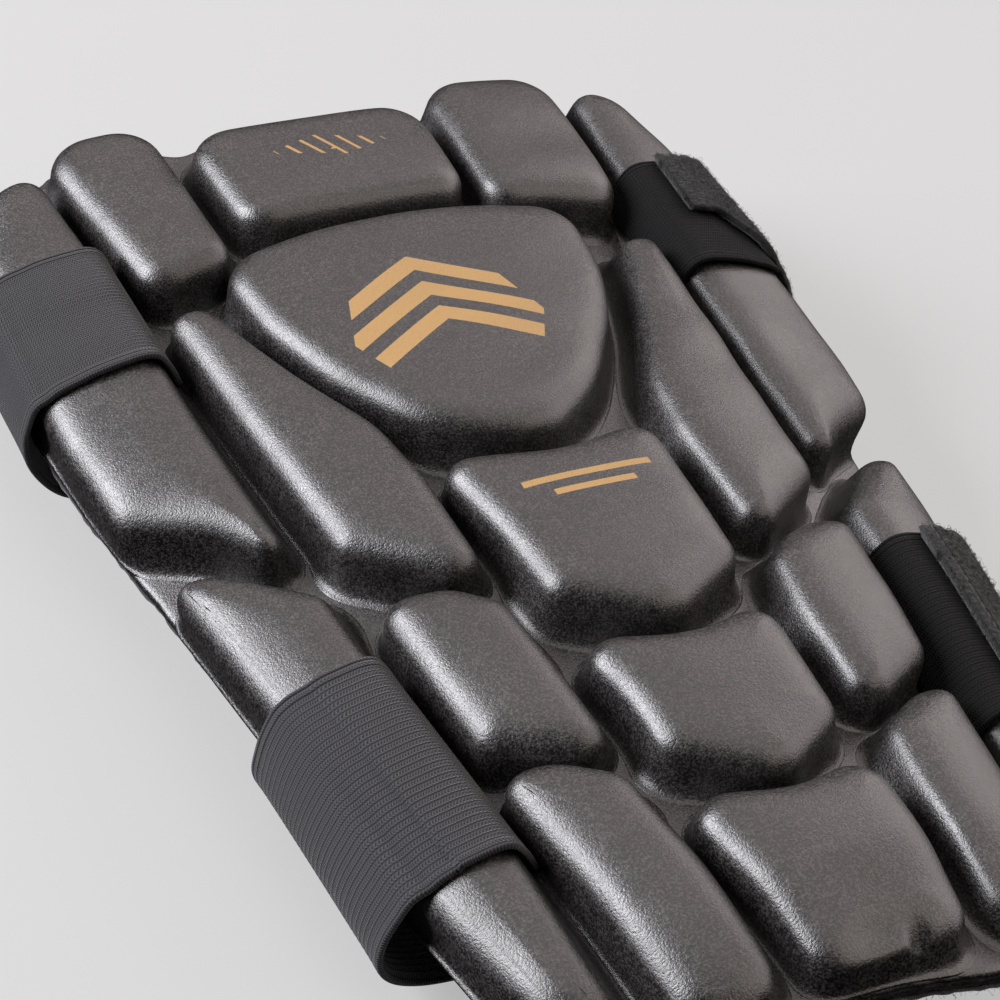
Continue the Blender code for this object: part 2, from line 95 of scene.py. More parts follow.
def soften_loop(values: Array, spacing: float, size: float) -> Array:
    """Smooth values round a closed loop with a bell, as a product of their spectrum.

    Args:
        values: (n,) or (n, 2), one row for each point of the loop.
        spacing: distance between the points, in millimetres.
        size: the bell's size, in millimetres.
    Returns:
        The smoothed values.
    """
    turns = np.fft.fftfreq(len(values), spacing)
    keep = np.exp(-0.5 * (math.tau * turns * size) ** 2)
    keep = keep.reshape((-1,) + (1,) * (values.ndim - 1))
    return np.fft.ifft(np.fft.fft(values, axis=0) * keep, axis=0).real


def loop_normals(loop: Array) -> Array:
    """Unit normals of an anticlockwise loop (n, 2), pointing out: its chords turned by a quarter."""
    side = np.roll(loop, -1, 0) - np.roll(loop, 1, 0)
    return np.stack([side[:, 1], -side[:, 0]], 1) / np.linalg.norm(side, axis=1, keepdims=True)


def run_length(path: Array) -> Array:
    """Distance run along a path at each of its points."""
    return np.concatenate([[0.0], np.cumsum(np.linalg.norm(np.diff(path, axis=0), axis=1))])


def through(knots: Sequence[float], values: Array, where: Array) -> Array:
    """Read a smooth curve through knots: cubic pieces whose slopes don't overshoot.

    Args:
        knots: rising positions of the values.
        values: the values at the knots.
        where: positions to read; outside the knots the end values hold.
    Returns:
        The curve's values at where.
    """
    knots, values = np.asarray(knots, float), np.asarray(values, float)
    rise = np.diff(values) / np.diff(knots)
    product = rise[:-1] * rise[1:]
    total = np.where(product > 0, rise[:-1] + rise[1:], 1.0)
    inner = np.where(product > 0, 2.0 * product / total, 0.0)
    slopes = np.concatenate([[0.0], inner, [0.0]])
    where = np.clip(where, knots[0], knots[-1])
    index = np.clip(np.searchsorted(knots, where) - 1, 0, len(knots) - 2)
    span = knots[index + 1] - knots[index]
    t = (where - knots[index]) / span
    return cubic(t, span, (values[index], values[index + 1]), (slopes[index], slopes[index + 1]))


def ripple(across: Array, along: Array, size: float, seed: int) -> Array:
    """A gentle uneven surface: the mean of eight sine waves of random heading and phase.

    Args:
        across: position across, in millimetres.
        along: position along, in millimetres.
        size: typical distance between bumps, in millimetres.
        seed: picks the waves.
    Returns:
        Heights from about -1 to 1.
    """
    rng = np.random.default_rng(seed)
    total = np.zeros(np.broadcast(across, along).shape)
    for heading, stretch, phase in zip(rng.uniform(0, math.tau, 8), rng.uniform(0.6, 1.6, 8),
                                       rng.uniform(0, math.tau, 8)):
        wave = across * math.cos(heading) + along * math.sin(heading)
        total += np.sin(wave * math.tau / (size * stretch) + phase)
    return total / 3.2


@dataclass(frozen=True)
class Skin:
    """The face of the panel, bent round the forearm, and its trimmed rim."""

    bend: float = 0.0045
    bend_ease: float = -0.0000231
    hinge_start: float = 40.0
    hinge_width: float = 24.0
    hinge_angle: float = 0.03
    steps: int = 24
    along_shift: float = 14.12
    ground: float = -32.6
    elbow: float = 123.5
    wrist: float = -152.0
    notches: tuple[float, ...] = (32.0, 69.0)
    notch_depth: float = 4.0
    notch_width: float = 5.0
    pad_height: float = 12.0
    strap_press: float = 1.2
    wrist_roll: float = 2.8
    rim: tuple[tuple[float, float], ...] = (
        (-152, 49), (-148, 54), (-143, 58.5), (-135, 62), (-120, 66.8), (-100, 70.6), (-80, 74),
        (-60, 77.3), (-44, 79.9), (-20, 83.4), (0, 86.8), (20, 90), (40, 92), (60, 92.8), (80, 92.6),
        (100, 91), (110, 87.5), (118, 82), (124, 74))
    wrist_edge: tuple[tuple[float, float], ...] = (
        (-60, -142), (-40, -149), (-14, -148.5), (0, -149.5), (18, -152), (40, -150), (60, -142))

    def lean(self, across: Array, along: Array) -> Array:
        """Lean of the skin away from level: the bend times the distance across, plus the hinge.

        Args:
            across: position across, in millimetres.
            along: position along, in millimetres.
        Returns:
            The lean in radians.
        """
        hinge = smooth((np.abs(across) - self.hinge_start) / self.hinge_width)
        return (self.bend + self.bend_ease * along) * across + self.hinge_angle * np.sign(across) * hinge

    def at(self, across: Array, along: Array, lift: Array) -> Array:
        """Carry sheet coordinates to the part's frame.

        The skin's x and z are the sums of the cosine and sine of its lean from the centre line out,
        and lift is added square to the skin.

        Args:
            across: position across, in millimetres.
            along: position along, in millimetres.
            lift: height over the skin, in millimetres.
        Returns:
            Points in metres, one more axis than the inputs.
        """
        across, along, lift = np.broadcast_arrays(*(np.asarray(a, float) for a in (across, along, lift)))
        x, z = np.zeros(across.shape), np.zeros(across.shape)
        for step in range(self.steps):
            lean = self.lean(across * (step + 0.5) / self.steps, along)
            x += np.cos(lean)
            z -= np.sin(lean)
        end = self.lean(across, along)
        return self.place(x * across / self.steps + lift * np.sin(end), along,
                          z * across / self.steps + lift * np.cos(end))

    def place(self, x: Array, along: Array, z: Array) -> Array:
        """Move millimetres in sheet space to the part's frame in metres.

        Args:
            x: level distance from the centre line.
            along: position along.
            z: level height over the skin's middle.
        Returns:
            Points in metres.
        """
        x, along, z = np.broadcast_arrays(x, along, z)
        return np.stack([x, along + self.along_shift, z - self.ground], -1) * MM

    def half_width(self, along: Array) -> Array:
        """Half the panel's width, read between the rows of the rim table."""
        return np.interp(along, *np.array(self.rim, float).T)

    def wrist_end(self, across: Array) -> Array:
        """Station of the trimmed wrist edge, read between its rows."""
        return np.interp(across, *np.array(self.wrist_edge, float).T)

    def elbow_end(self, across: Array) -> Array:
        """Station of the elbow edge: straight, less a bell-shaped notch at each groove."""
        return self.elbow - sum(self.notch_depth * np.exp(-((np.abs(across) - spot) / self.notch_width) ** 2)
                                for spot in self.notches)

    def height(self, along: Array) -> Array:
        """Pad height: pressed a little under the lower strap, and rolled off at the wrist."""
        return (self.pad_height - self.strap_press * smooth((-60.0 - along) / 40.0)
                - self.wrist_roll * smooth((-125.0 - along) / 25.0))


def grid_faces(rows: int, columns: int, wrap: bool) -> tuple[Array, Array]:
    """Quads of a grid of rows by columns, and each corner's unwrapped place for texture maps.

    Args:
        rows: number of rows of points.
        columns: number of points in a row.
        wrap: whether a row's last point joins its first.
    Returns:
        Vertex numbers (n, 4), and rows and columns of the corners (n, 4, 2) before wrapping.
    """
    across = np.arange(columns if wrap else columns - 1)
    row, column = np.meshgrid(np.arange(rows - 1), across, indexing="ij")
    row, column = row.ravel(), column.ravel()
    places = np.stack([np.stack([row, column], -1), np.stack([row, column + 1], -1),
                       np.stack([row + 1, column + 1], -1), np.stack([row + 1, column], -1)], 1)
    return places[..., 0] * columns + places[..., 1] % columns, places


def fill_mesh(name: str, vertices: Array, loops: Array, sizes: Array,
              charts: dict[str, Array] | None = None) -> bpy.types.Object:
    """Put points and faces into a new smooth-shaded object at the origin.

    Args:
        name: the piece's name.
        vertices: (n, 3) in metres.
        loops: the faces' vertex numbers, one face after the other.
        sizes: number of corners of each face.
        charts: texture maps, a pair of numbers for each corner.
    Returns:
        The new object, linked to the scene.
    """
    mesh = bpy.data.meshes.new(name)
    mesh.vertices.add(len(vertices))
    mesh.vertices.foreach_set("co", vertices.astype(np.float32).ravel())
    mesh.loops.add(len(loops))
    mesh.loops.foreach_set("vertex_index", loops.astype(np.int32))
    mesh.polygons.add(len(sizes))
    mesh.polygons.foreach_set("loop_start", (np.cumsum(sizes) - sizes).astype(np.int32))
    for title, chart in (charts or {}).items():
        mesh.uv_layers.new(name=title).uv.foreach_set("vector", chart.astype(np.float32).ravel())
    mesh.update(calc_edges=True)
    mesh.validate()
    mesh.shade_smooth()
    thing = bpy.data.objects.new(name, mesh)
    bpy.context.scene.collection.objects.link(thing)
    return thing


def make_mesh(name: str, points: Array, wrap: bool, maps: dict[str, Array],
              caps: bool = True) -> bpy.types.Object:
    """Turn a grid of points into an object, with its first and last rows closed by fans.

    Args:
        name: the piece's name.
        points: (rows, columns, 3) in metres.
        wrap: whether the rows are closed loops.
        maps: texture maps (rows, columns + 1, 2), the spare column being the seam's far side.
        caps: whether the end rows are closed.
    Returns:
        The new object, linked to the scene.
    """
    rows, columns = points.shape[:2]
    quads, places = grid_faces(rows, columns, wrap)
    vertices = points.reshape(-1, 3)
    loops, sizes = quads.ravel(), np.full(len(quads), 4)
    corner_places = places.reshape(-1, 2)
    if caps:
        hubs = np.stack([points[0].mean(0), points[-1].mean(0)])
        first, after = np.arange(columns), (np.arange(columns) + 1) % columns
        count = len(vertices)
        low = np.stack([after, first, np.full(columns, count)], 1)
        high = np.stack([first + (rows - 1) * columns, after + (rows - 1) * columns,
                         np.full(columns, count + 1)], 1)
        low_places = np.stack([np.stack([0 * first, first + 1], 1), np.stack([0 * first, first], 1),
                               np.stack([0 * first, first], 1)], 1)
        high_places = low_places[:, [1, 0, 2]] + np.array([rows - 1, 0])
        vertices = np.concatenate([vertices, hubs])
        loops = np.concatenate([loops, low.ravel(), high.ravel()])
        sizes = np.concatenate([sizes, np.full(2 * columns, 3)])
        corner_places = np.concatenate([corner_places, low_places.reshape(-1, 2),
                                        high_places.reshape(-1, 2)])
    charts = {title: chart[corner_places[:, 0], corner_places[:, 1]] for title, chart in maps.items()}
    return fill_mesh(name, vertices, loops, sizes, charts)


def dress(thing: bpy.types.Object, material: bpy.types.Material,
          replaced: Sequence[str] = ()) -> None:
    """Give a piece its material and its place in the frame.

    Args:
        thing: the piece.
        material: its finish.
        replaced: the nodes that it stands for.
    """
    thing.data.materials.append(material)
    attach(thing, "root")
    if replaced:
        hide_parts(*replaced)
    log.info("%s: %d faces", thing.name, len(thing.data.polygons))


class Socket:
    """A shader value that takes part in Python arithmetic."""

    def __init__(self, graph: "Graph", link: Any) -> None:
        """Keep the graph and the output socket."""
        self.graph, self.link = graph, link

    def _maths(self, operation: str, *values: Any) -> "Socket":
        """One Math node over the given values."""
        return self.graph.node("ShaderNodeMath", {"operation": operation}, dict(enumerate(values)))

    def __add__(self, other: Any) -> "Socket":
        """Sum."""
        return self._maths("ADD", self, other)

    __radd__ = __add__

    def __mul__(self, other: Any) -> "Socket":
        """Product."""
        return self._maths("MULTIPLY", self, other)

    __rmul__ = __mul__

    def __sub__(self, other: Any) -> "Socket":
        """Difference."""
        return self._maths("SUBTRACT", self, other)

    def __rsub__(self, other: Any) -> "Socket":
        """Reflected difference."""
        return self._maths("SUBTRACT", other, self)

    def __truediv__(self, other: Any) -> "Socket":
        """Quotient."""
        return self._maths("DIVIDE", self, other)

    def __lt__(self, other: Any) -> "Socket":
        """One where this is less than the other."""
        return self._maths("LESS_THAN", self, other)

    def __abs__(self) -> "Socket":
        """Distance from zero."""
        return self._maths("ABSOLUTE", self)

    def sine(self) -> "Socket":
        """Sine of an angle in radians."""
        return self._maths("SINE", self)

    def wrapped(self, size: float) -> "Socket":
        """Distance from the middle of the repeat that holds the value."""
        return abs(self._maths("WRAP", self, size / 2, -size / 2))

    def step(self, low: float, high: float) -> "Socket":
        """Ease from 0 at low to 1 at high."""
        return self.graph.node("ShaderNodeMapRange", {"interpolation_type": "SMOOTHSTEP"},
                               {"Value": self, "From Min": low, "From Max": high})


class Graph:
    """The nodes of one material."""

    def __init__(self, name: str) -> None:
        """Start a material with its shader and output alone."""
        self.material = bpy.data.materials.new(name)
        self.material.use_nodes = True
        self.tree = self.material.node_tree
        self.shader = self.tree.nodes["Principled BSDF"]

    def node(self, kind: str, settings: dict[str, Any] | None = None, inputs: dict[Any, Any] | None = None,
             output: Any = 0) -> Socket:
        """Add a node.

        Args:
            kind: the node's type.
            settings: properties, set before the sockets.
            inputs: a value or a Socket for each named or numbered socket.
            output: which output to read.
        Returns:
            The output as a Socket.
        """
        made = self.tree.nodes.new(kind)
        for key, value in (settings or {}).items():
            setattr(made, key, value)
        for key, value in (inputs or {}).items():
            if isinstance(value, Socket):
                self.tree.links.new(value.link, made.inputs[key])
            else:
                made.inputs[key].default_value = value
        return Socket(self, made.outputs[output])

    def place(self) -> Socket:
        """Object coordinates in metres."""
        return self.node("ShaderNodeTexCoord", output="Object")

    def chart(self, title: str) -> tuple[Socket, Socket]:
        """The two numbers of a texture map, in millimetres."""
        vector = self.node("ShaderNodeUVMap", {"uv_map": title})
        split = self.node("ShaderNodeSeparateXYZ", inputs={0: vector})
        along = Socket(self, split.link.node.outputs[1])
        return split * 1000.0, along * 1000.0

    def stretch(self, x: Any, y: Any, z: Any = 0.0) -> Socket:
        """A vector from three numbers."""
        return self.node("ShaderNodeCombineXYZ", inputs={0: x, 1: y, 2: z})

    def noise(self, where: Socket, scale: float, detail: float = 2.0, rough: float = 0.5) -> Socket:
        """Soft noise from about 0.25 to 0.75."""
        return self.node("ShaderNodeTexNoise", inputs={"Vector": where, "Scale": scale, "Detail": detail,
                                                       "Roughness": rough})

    def cells(self, where: Socket, scale: float, soft: float = 0.6) -> Socket:
        """Rounded cells: 0 in their middles."""
        return self.node("ShaderNodeTexVoronoi", {"feature": "SMOOTH_F1"},
                         {"Vector": where, "Scale": scale, "Smoothness": soft})

    def mix(self, share: Any, low: Any, high: Any) -> Socket:
        """Mix two colours."""
        pair = [(*c, 1.0) if isinstance(c, tuple) else c for c in (low, high)]
        inputs = {0: share, 6: pair[0], 7: pair[1]}
        return self.node("ShaderNodeMix", {"data_type": "RGBA"}, inputs, output=2)

    def bump(self, height: Socket, depth: float, under: Socket | None = None,
             strength: float = 1.0) -> Socket:
        """A bumped normal: depth in metres for a height of 1."""
        inputs: dict[str, Any] = {"Height": height, "Distance": depth, "Strength": strength}
        if under is not None:
            inputs["Normal"] = under
        return self.node("ShaderNodeBump", inputs=inputs)

    def finish(self, linked: dict[str, Socket], fixed: dict[str, float]) -> bpy.types.Material:
        """Join the varying sockets and set the constant ones.

        Args:
            linked: sockets of the shader that vary over the surface.
            fixed: sockets with one value all over.
        Returns:
            The material.
        """
        for key, value in linked.items():
            self.tree.links.new(value.link, self.shader.inputs[key])
        for key, value in fixed.items():
            self.shader.inputs[key].default_value = value
        return self.material


class Print(Enum):
    """The gilt motif on a pad."""

    NONE = "none"
    CHEVRONS = "chevrons"
    BARS = "bars"
    LATTICE = "lattice"


@dataclass(frozen=True)
class FoamFinish:
    """Moulded foam skin: near-black, with a fine leather grain that breaks its sheen."""

    name: str
    gilt: Print = Print.NONE
    centre: tuple[float, float] = (0.0, 0.0)
    dark: tuple[float, float, float] = (0.0022, 0.0020, 0.0024)
    brown: tuple[float, float, float] = (0.042, 0.036, 0.035)
    gold: tuple[float, float, float] = (0.27, 0.155, 0.046)
    grain_size: float = 0.42
    grain_depth: float = 0.062
    roughness: float = 0.38

    def motif(self, graph: Graph, across: Socket, along: Socket) -> Socket:
        """The gilt motif as a mask.

        Args:
            graph: the material's graph; not used.
            across: sheet position across, in millimetres.
            along: sheet position along, in millimetres.
        Returns:
            One inside the print and nought outside.
        """
        x, y = across - self.centre[0], along - self.centre[1]
        if self.gilt is Print.CHEVRONS:
            fall = y + abs(x) * 0.62
            return (fall.wrapped(9.0) < 2.5) * (abs(fall) < 13.4) * (abs(x) < 21.0 - abs(fall) * 0.35)
        if self.gilt is Print.BARS:
            long_bar = (abs(y - 2.4) < 0.85) * (abs(x) < 13.5)
            short_bar = (abs(y + 1.6) < 0.85) * (abs(x) < 8.5)
            return long_bar + short_bar
        slant = x + y * 0.5
        return (slant.wrapped(4.4) < 0.45) * (abs(y) < 4.6 - abs(slant) * 0.30) * (abs(slant) < 13.0)

    def make(self) -> bpy.types.Material:
        """Build the material.

        Returns:
            The material.
        """
        graph = Graph(self.name)
        where = graph.place()
        across, along = graph.chart("sheet")
        around, outward = graph.chart("edge")
        pebble = graph.cells(where, 1000.0 / self.grain_size, 0.4)
        fine = graph.noise(where, 820.0 / self.grain_size, 2.0, 0.8)
        clump = graph.noise(where, 420.0, 2.0, 0.6)
        cloud = graph.noise(where, 60.0, 3.0, 0.55)
        streak = graph.noise(graph.stretch(around / 0.34, outward / 1.7), 1.0, 1.0)
        crown = (1.0 - (outward - 0.2).step(0.0, 2.2)) * (outward + 5.0).step(0.0, 3.5)
        height = pebble * -0.6 + fine * 1.5 + clump * 0.3 + streak * crown * 0.5
        normal = graph.bump(height, self.grain_depth * MM)
        swell = graph.noise(where, 95.0, 1.0)
        normal = graph.bump(swell, 0.30 * MM, normal, 0.5)
        fleck = (fine + clump * 0.15).step(0.50, 0.74) * (0.35 + cloud * 0.9)
        colour = graph.mix(fleck, self.dark, self.brown)
        rough = self.roughness + (clump - 0.5) * 0.14 + (cloud - 0.5) * 0.10 + (fine - 0.5) * 0.3
        if self.gilt is not Print.NONE:
            worn = (fine + clump * 0.6).step(0.36, 0.46)
            mask = self.motif(graph, across, along) * worn
            gilt = graph.mix(cloud, self.gold, tuple(c * 0.9 for c in self.gold))
            colour = graph.mix(mask, colour, gilt)
            rough = rough + mask * 0.22
        return graph.finish({"Base Color": colour, "Roughness": rough, "Normal": normal},
                            {"Specular IOR Level": 0.66})


@dataclass(frozen=True)
class ElasticFinish:
    """Woven elastic: ribs along the band, with slanting stitches across each rib; painted shade darkens the
    grooves between ribs and the stitch crests are painted lighter.
    """

    name: str
    yarn: tuple[float, float, float]
    # shade: the colour of the painted shade in the rib grooves and between the stitches.
    shade: tuple[float, float, float]
    rib: float
    stitch: float = 0.55
    sheen: float = 0.12
    gloss: float = 0.3

    def make(self) -> bpy.types.Material:
        """Build the material.

        Returns:
            The material.
        """
        graph = Graph(self.name)
        length, side = graph.chart("weave")
        where = graph.place()
        fray = graph.noise(where, 900.0, 2.0, 0.7)
        haze = graph.noise(where, 45.0, 2.0)
        groove = (side.wrapped(self.rib) / (self.rib * 0.5)).step(0.45, 1.0)
        slant = length + side.wrapped(self.rib) * 0.5
        stitch = (slant * (math.tau / self.stitch)).sine() * 0.5 + 0.5
        height = stitch * 0.7 * (1.0 - groove * 0.6) - groove * 0.9 + fray * 0.4
        normal = graph.bump(height, 0.22 * MM)
        # Painted shade and highlight: the rib grooves are painted towards the shade colour and the stitch
        # crests lighter; fray and haze vary the tone at random.
        lit = (stitch * 0.75 + fray * 0.4 + haze * 0.2) * (1.0 - groove * 0.85)
        colour = graph.mix(lit, self.shade, self.yarn)
        rough = 0.74 + (fray - 0.5) * 0.2
        return graph.finish({"Base Color": colour, "Roughness": rough, "Normal": normal},
                            {"Specular IOR Level": self.gloss, "Sheen Weight": self.sheen,
                             "Sheen Roughness": 0.45})


@dataclass(frozen=True)
class ClothFinish:
    """Brushed cloth, pile or thread: matt, with a fine mottled nap and perhaps a stitched line, its furrow
    painted darker as shade.
    """

    name: str
    light: tuple[float, float, float]
    dark: tuple[float, float, float]
    nap: float = 0.5
    depth: float = 0.12
    sheen: float = 0.4
    seam: float = 0.0
    thread: tuple[float, float, float] = (0.02, 0.02, 0.02)

    def make(self) -> bpy.types.Material:
        """Build the material.

        Returns:
            The material.
        """
        graph = Graph(self.name)
        where = graph.place()
        tuft = graph.noise(where, 1000.0 / self.nap, 3.0, 0.7)
        patch = graph.noise(where, 160.0, 3.0, 0.6)
        knit = graph.cells(where, 600.0 / self.nap)
        height = tuft + knit * 0.5
        colour = graph.mix((tuft * 0.7 + patch * 0.5).step(0.35, 0.85), self.dark, self.light)
        if self.seam > 0.0:
            length, side = graph.chart("weave")
            furrow = 1.0 - (abs(length - self.seam) / 0.6).step(0.2, 1.0)
            dash = (abs(length - self.seam) < 0.2) * (side.wrapped(2.6) < 0.85)
            height = height - furrow * 1.6 + dash * 1.4
            # Painted shade: the seam's furrow is painted darker, towards the dark colour.
            colour = graph.mix(furrow * 0.7, colour, self.dark)
            colour = graph.mix(dash, colour, self.thread)
        normal = graph.bump(height, self.depth * MM)
        return graph.finish({"Base Color": colour, "Roughness": 0.85 + (tuft - 0.5) * 0.2, "Normal": normal},
                            {"Specular IOR Level": 0.25, "Sheen Weight": self.sheen, "Sheen Roughness": 0.5})


Corner = tuple[float, float, float]


@dataclass
class PadShape:
    """One pad: its outline's corners as across, along and radius, and how its wall and crown run."""

    name: str
    corners: Sequence[Corner]
    finish: FoamFinish
    spacing: float = 0.95
    soften: float = 1.1
    ease: float = 0.8
    foot_least: float = 2.3
    foot_most: float = 5.6
    wall_top: float = 1.6
    wall: tuple[tuple[float, float], ...] = (
        (-9.0, 1.0), (-6.2, 0.994), (-4.2, 0.979), (-2.7, 0.953), (-1.4, 0.911), (-0.3, 0.855), (0.5, 0.79),
        (1.1, 0.71), (1.6, 0.60), (2.3, 0.39), (3.0, 0.205), (3.8, 0.085), (4.6, 0.025), (5.6, 0.0))
    dome: float = 0.7
    dome_width: float = 7.0
    swell: float = 0.16
    swell_size: float = 24.0
    skirt: float = 0.25
    skirt_depth: float = 0.3
    row: float = 0.8
    inset: float = 2.8
    wall_rings: int = 13
    crown_rings: int = 7
    outline: Array = field(init=False)

    def __post_init__(self) -> None:
        """Work out the dense outline."""
        self.outline = self.rounded()

    def rounded(self) -> Array:
        """The outline at an even spacing: straights and arcs, then softened so that the bend is even.

        Each corner is an arc of its radius that touches both sides, or of as much as they hold.

        Returns:
            Points (n, 2), anticlockwise.
        """
        spots = np.array([corner[:2] for corner in self.corners], float)
        pieces = []
        for index, (_, _, radius) in enumerate(self.corners):
            here = spots[index]
            back, ahead = spots[index - 1] - here, spots[(index + 1) % len(spots)] - here
            room = 0.45 * min(np.linalg.norm(back), np.linalg.norm(ahead))
            back, ahead = back / np.linalg.norm(back), ahead / np.linalg.norm(ahead)
            half = math.acos(np.clip(back @ ahead, -1.0, 1.0)) / 2.0
            reach = min(radius / math.tan(half), room) if half < math.pi / 2 - 1e-4 else room * 0.1
            share = np.linspace(0.0, 1.0, 17)[:, None]
            start, end = here + back * reach, here + ahead * reach
            weight = 2.0 * math.sin(half) * share * (1.0 - share)
            pieces.append(((1 - share) ** 2 * start + weight * here + share ** 2 * end)
                          / ((1 - share) ** 2 + weight + share ** 2))
        path = np.concatenate(pieces + [pieces[0][:1]])
        lengths = run_length(path)
        count = 2 * round(lengths[-1] / self.spacing / 2)
        even = np.arange(count) / count * lengths[-1]
        points = np.stack([np.interp(even, lengths, path[:, axis]) for axis in (0, 1)], 1)
        return soften_loop(points, self.spacing, self.soften)

    def distance(self, points: Array) -> Array:
        """Distance from points to the outline's nearest point.

        Args:
            points: (..., 2) in millimetres.
        Returns:
            Distances with the same leading shape.
        """
        flat = points.reshape(-1, 2)
        nearest = [np.sqrt(((part[:, None] - self.outline[None]) ** 2).sum(-1).min(1))
                   for part in np.array_split(flat, max(1, len(flat) // 2000))]
        return np.concatenate(nearest).reshape(points.shape[:-1])

    def feet(self, skin: Skin, others: Sequence["PadShape"]) -> Array:
        """How far the wall spreads: to the middle of the groove, or to the panel's rim.

        Args:
            skin: the panel's face.
            others: every other pad.
        Returns:
            The spread at each point of the outline, in millimetres.
        """
        nearest = np.min([other.distance(self.outline) for other in others], axis=0)
        across, along = self.outline.T
        rim = np.min([skin.half_width(along) - np.abs(across), along - skin.wrist_end(across),
                      skin.elbow_end(across) - along], axis=0)
        room = np.minimum(nearest / 2.0, rim - 0.5)
        return soften_loop(np.clip(room, self.foot_least, self.foot_most), self.spacing, self.ease)

    def build(self, skin: Skin, others: Sequence["PadShape"], dents: Sequence["Dent"]) -> bpy.types.Object:
        """Make the pad: rings from its foot up the wall and over the crown to its middle.

        A ring outside the outline stands off it square; rings inside shrink towards the middle. The
        height follows the distance from the outline through the wall table, with a low dome.

        Args:
            skin: the panel's face.
            others: every other pad.
            dents: hollows pressed into the foam.
        Returns:
            The pad.
        """
        normal, foot = loop_normals(self.outline), self.feet(skin, others)
        apart = self.outline[None] - self.outline[:, None]
        depth = -2.0 * (apart * normal[:, None]).sum(-1)
        circle = np.where(depth > 1e-3, (apart ** 2).sum(-1) / np.maximum(depth, 1e-3), 1e3).min(1)
        inset = soften_loop(np.minimum(self.inset, 0.5 * circle), self.spacing, self.ease)
        out = np.linspace(1.0, 0.0, self.wall_rings)[:, None] * foot
        into = -np.linspace(0.0, 1.0, self.crown_rings + 1)[1:, None] * inset
        offset = np.concatenate([out, into])
        rings = self.outline[None] + normal[None] * offset[..., None]
        centre = (self.outline.max(0) + self.outline.min(0)) / 2.0
        width = np.abs(rings[-1] - centre).max(0).min()
        shrink = np.linspace(1.0, 0.0, max(10, round(width / self.row)) + 1)[1:-1]
        inner = centre + (rings[-1] - centre)[None] * shrink[:, None, None]
        plan = np.concatenate([rings, inner])
        reach = -self.distance(plan)
        reach[:self.wall_rings] = out
        past = (reach - self.wall_top) / np.maximum(foot - self.wall_top, 0.5)
        knots, shares = np.array(self.wall).T
        steep = self.wall_top + past * (knots[-1] - self.wall_top)
        share = through(knots, shares, np.where(reach > self.wall_top, steep, reach))
        lift = share * skin.height(plan[..., 1])
        lift += self.dome * (1.0 - np.exp(np.minimum(reach, 0.0) / self.dome_width))
        top = smooth(share)
        lift += self.swell * top * ripple(plan[..., 0], plan[..., 1], self.swell_size, 7)
        for dent in dents:
            lift += dent.press(plan[..., 0], plan[..., 1]) * top
        skirt = self.outline + normal * (foot + self.skirt)[:, None]
        plan = np.concatenate([skirt[None], plan])
        lift = np.concatenate([np.full((1, len(skirt)), -self.skirt_depth), lift])
        reach = np.concatenate([foot[None] + self.skirt, reach])
        points = skin.at(plan[..., 0], plan[..., 1], lift)
        closing = np.concatenate([plan, plan[:, :1]], 1)
        around = np.broadcast_to(np.arange(len(skirt) + 1) * self.spacing, closing.shape[:2])
        edge = np.stack([around, np.concatenate([reach, reach[:, :1]], 1)], -1)
        thing = make_mesh(f"{self.name}_foam", points, True, {"sheet": closing * MM, "edge": edge * MM})
        dress(thing, self.finish.make(), [self.name])
        return thing


@dataclass(frozen=True)
class Dent:
    """A hollow pressed into the foam, round or drawn out along a heading."""

    across: float
    along: float
    depth: float
    length: float
    width: float
    heading: float = 0.0

    def press(self, across: Array, along: Array) -> Array:
        """Depth of the hollow: a bell, longer along its heading.

        Args:
            across: position across, in millimetres.
            along: position along, in millimetres.
        Returns:
            Change of lift, in millimetres.
        """
        x, y = across - self.across, along - self.along
        turn = math.radians(self.heading)
        ahead = x * math.cos(turn) + y * math.sin(turn)
        aside = y * math.cos(turn) - x * math.sin(turn)
        return -self.depth * np.exp(-(ahead / self.length) ** 2 - (aside / self.width) ** 2)


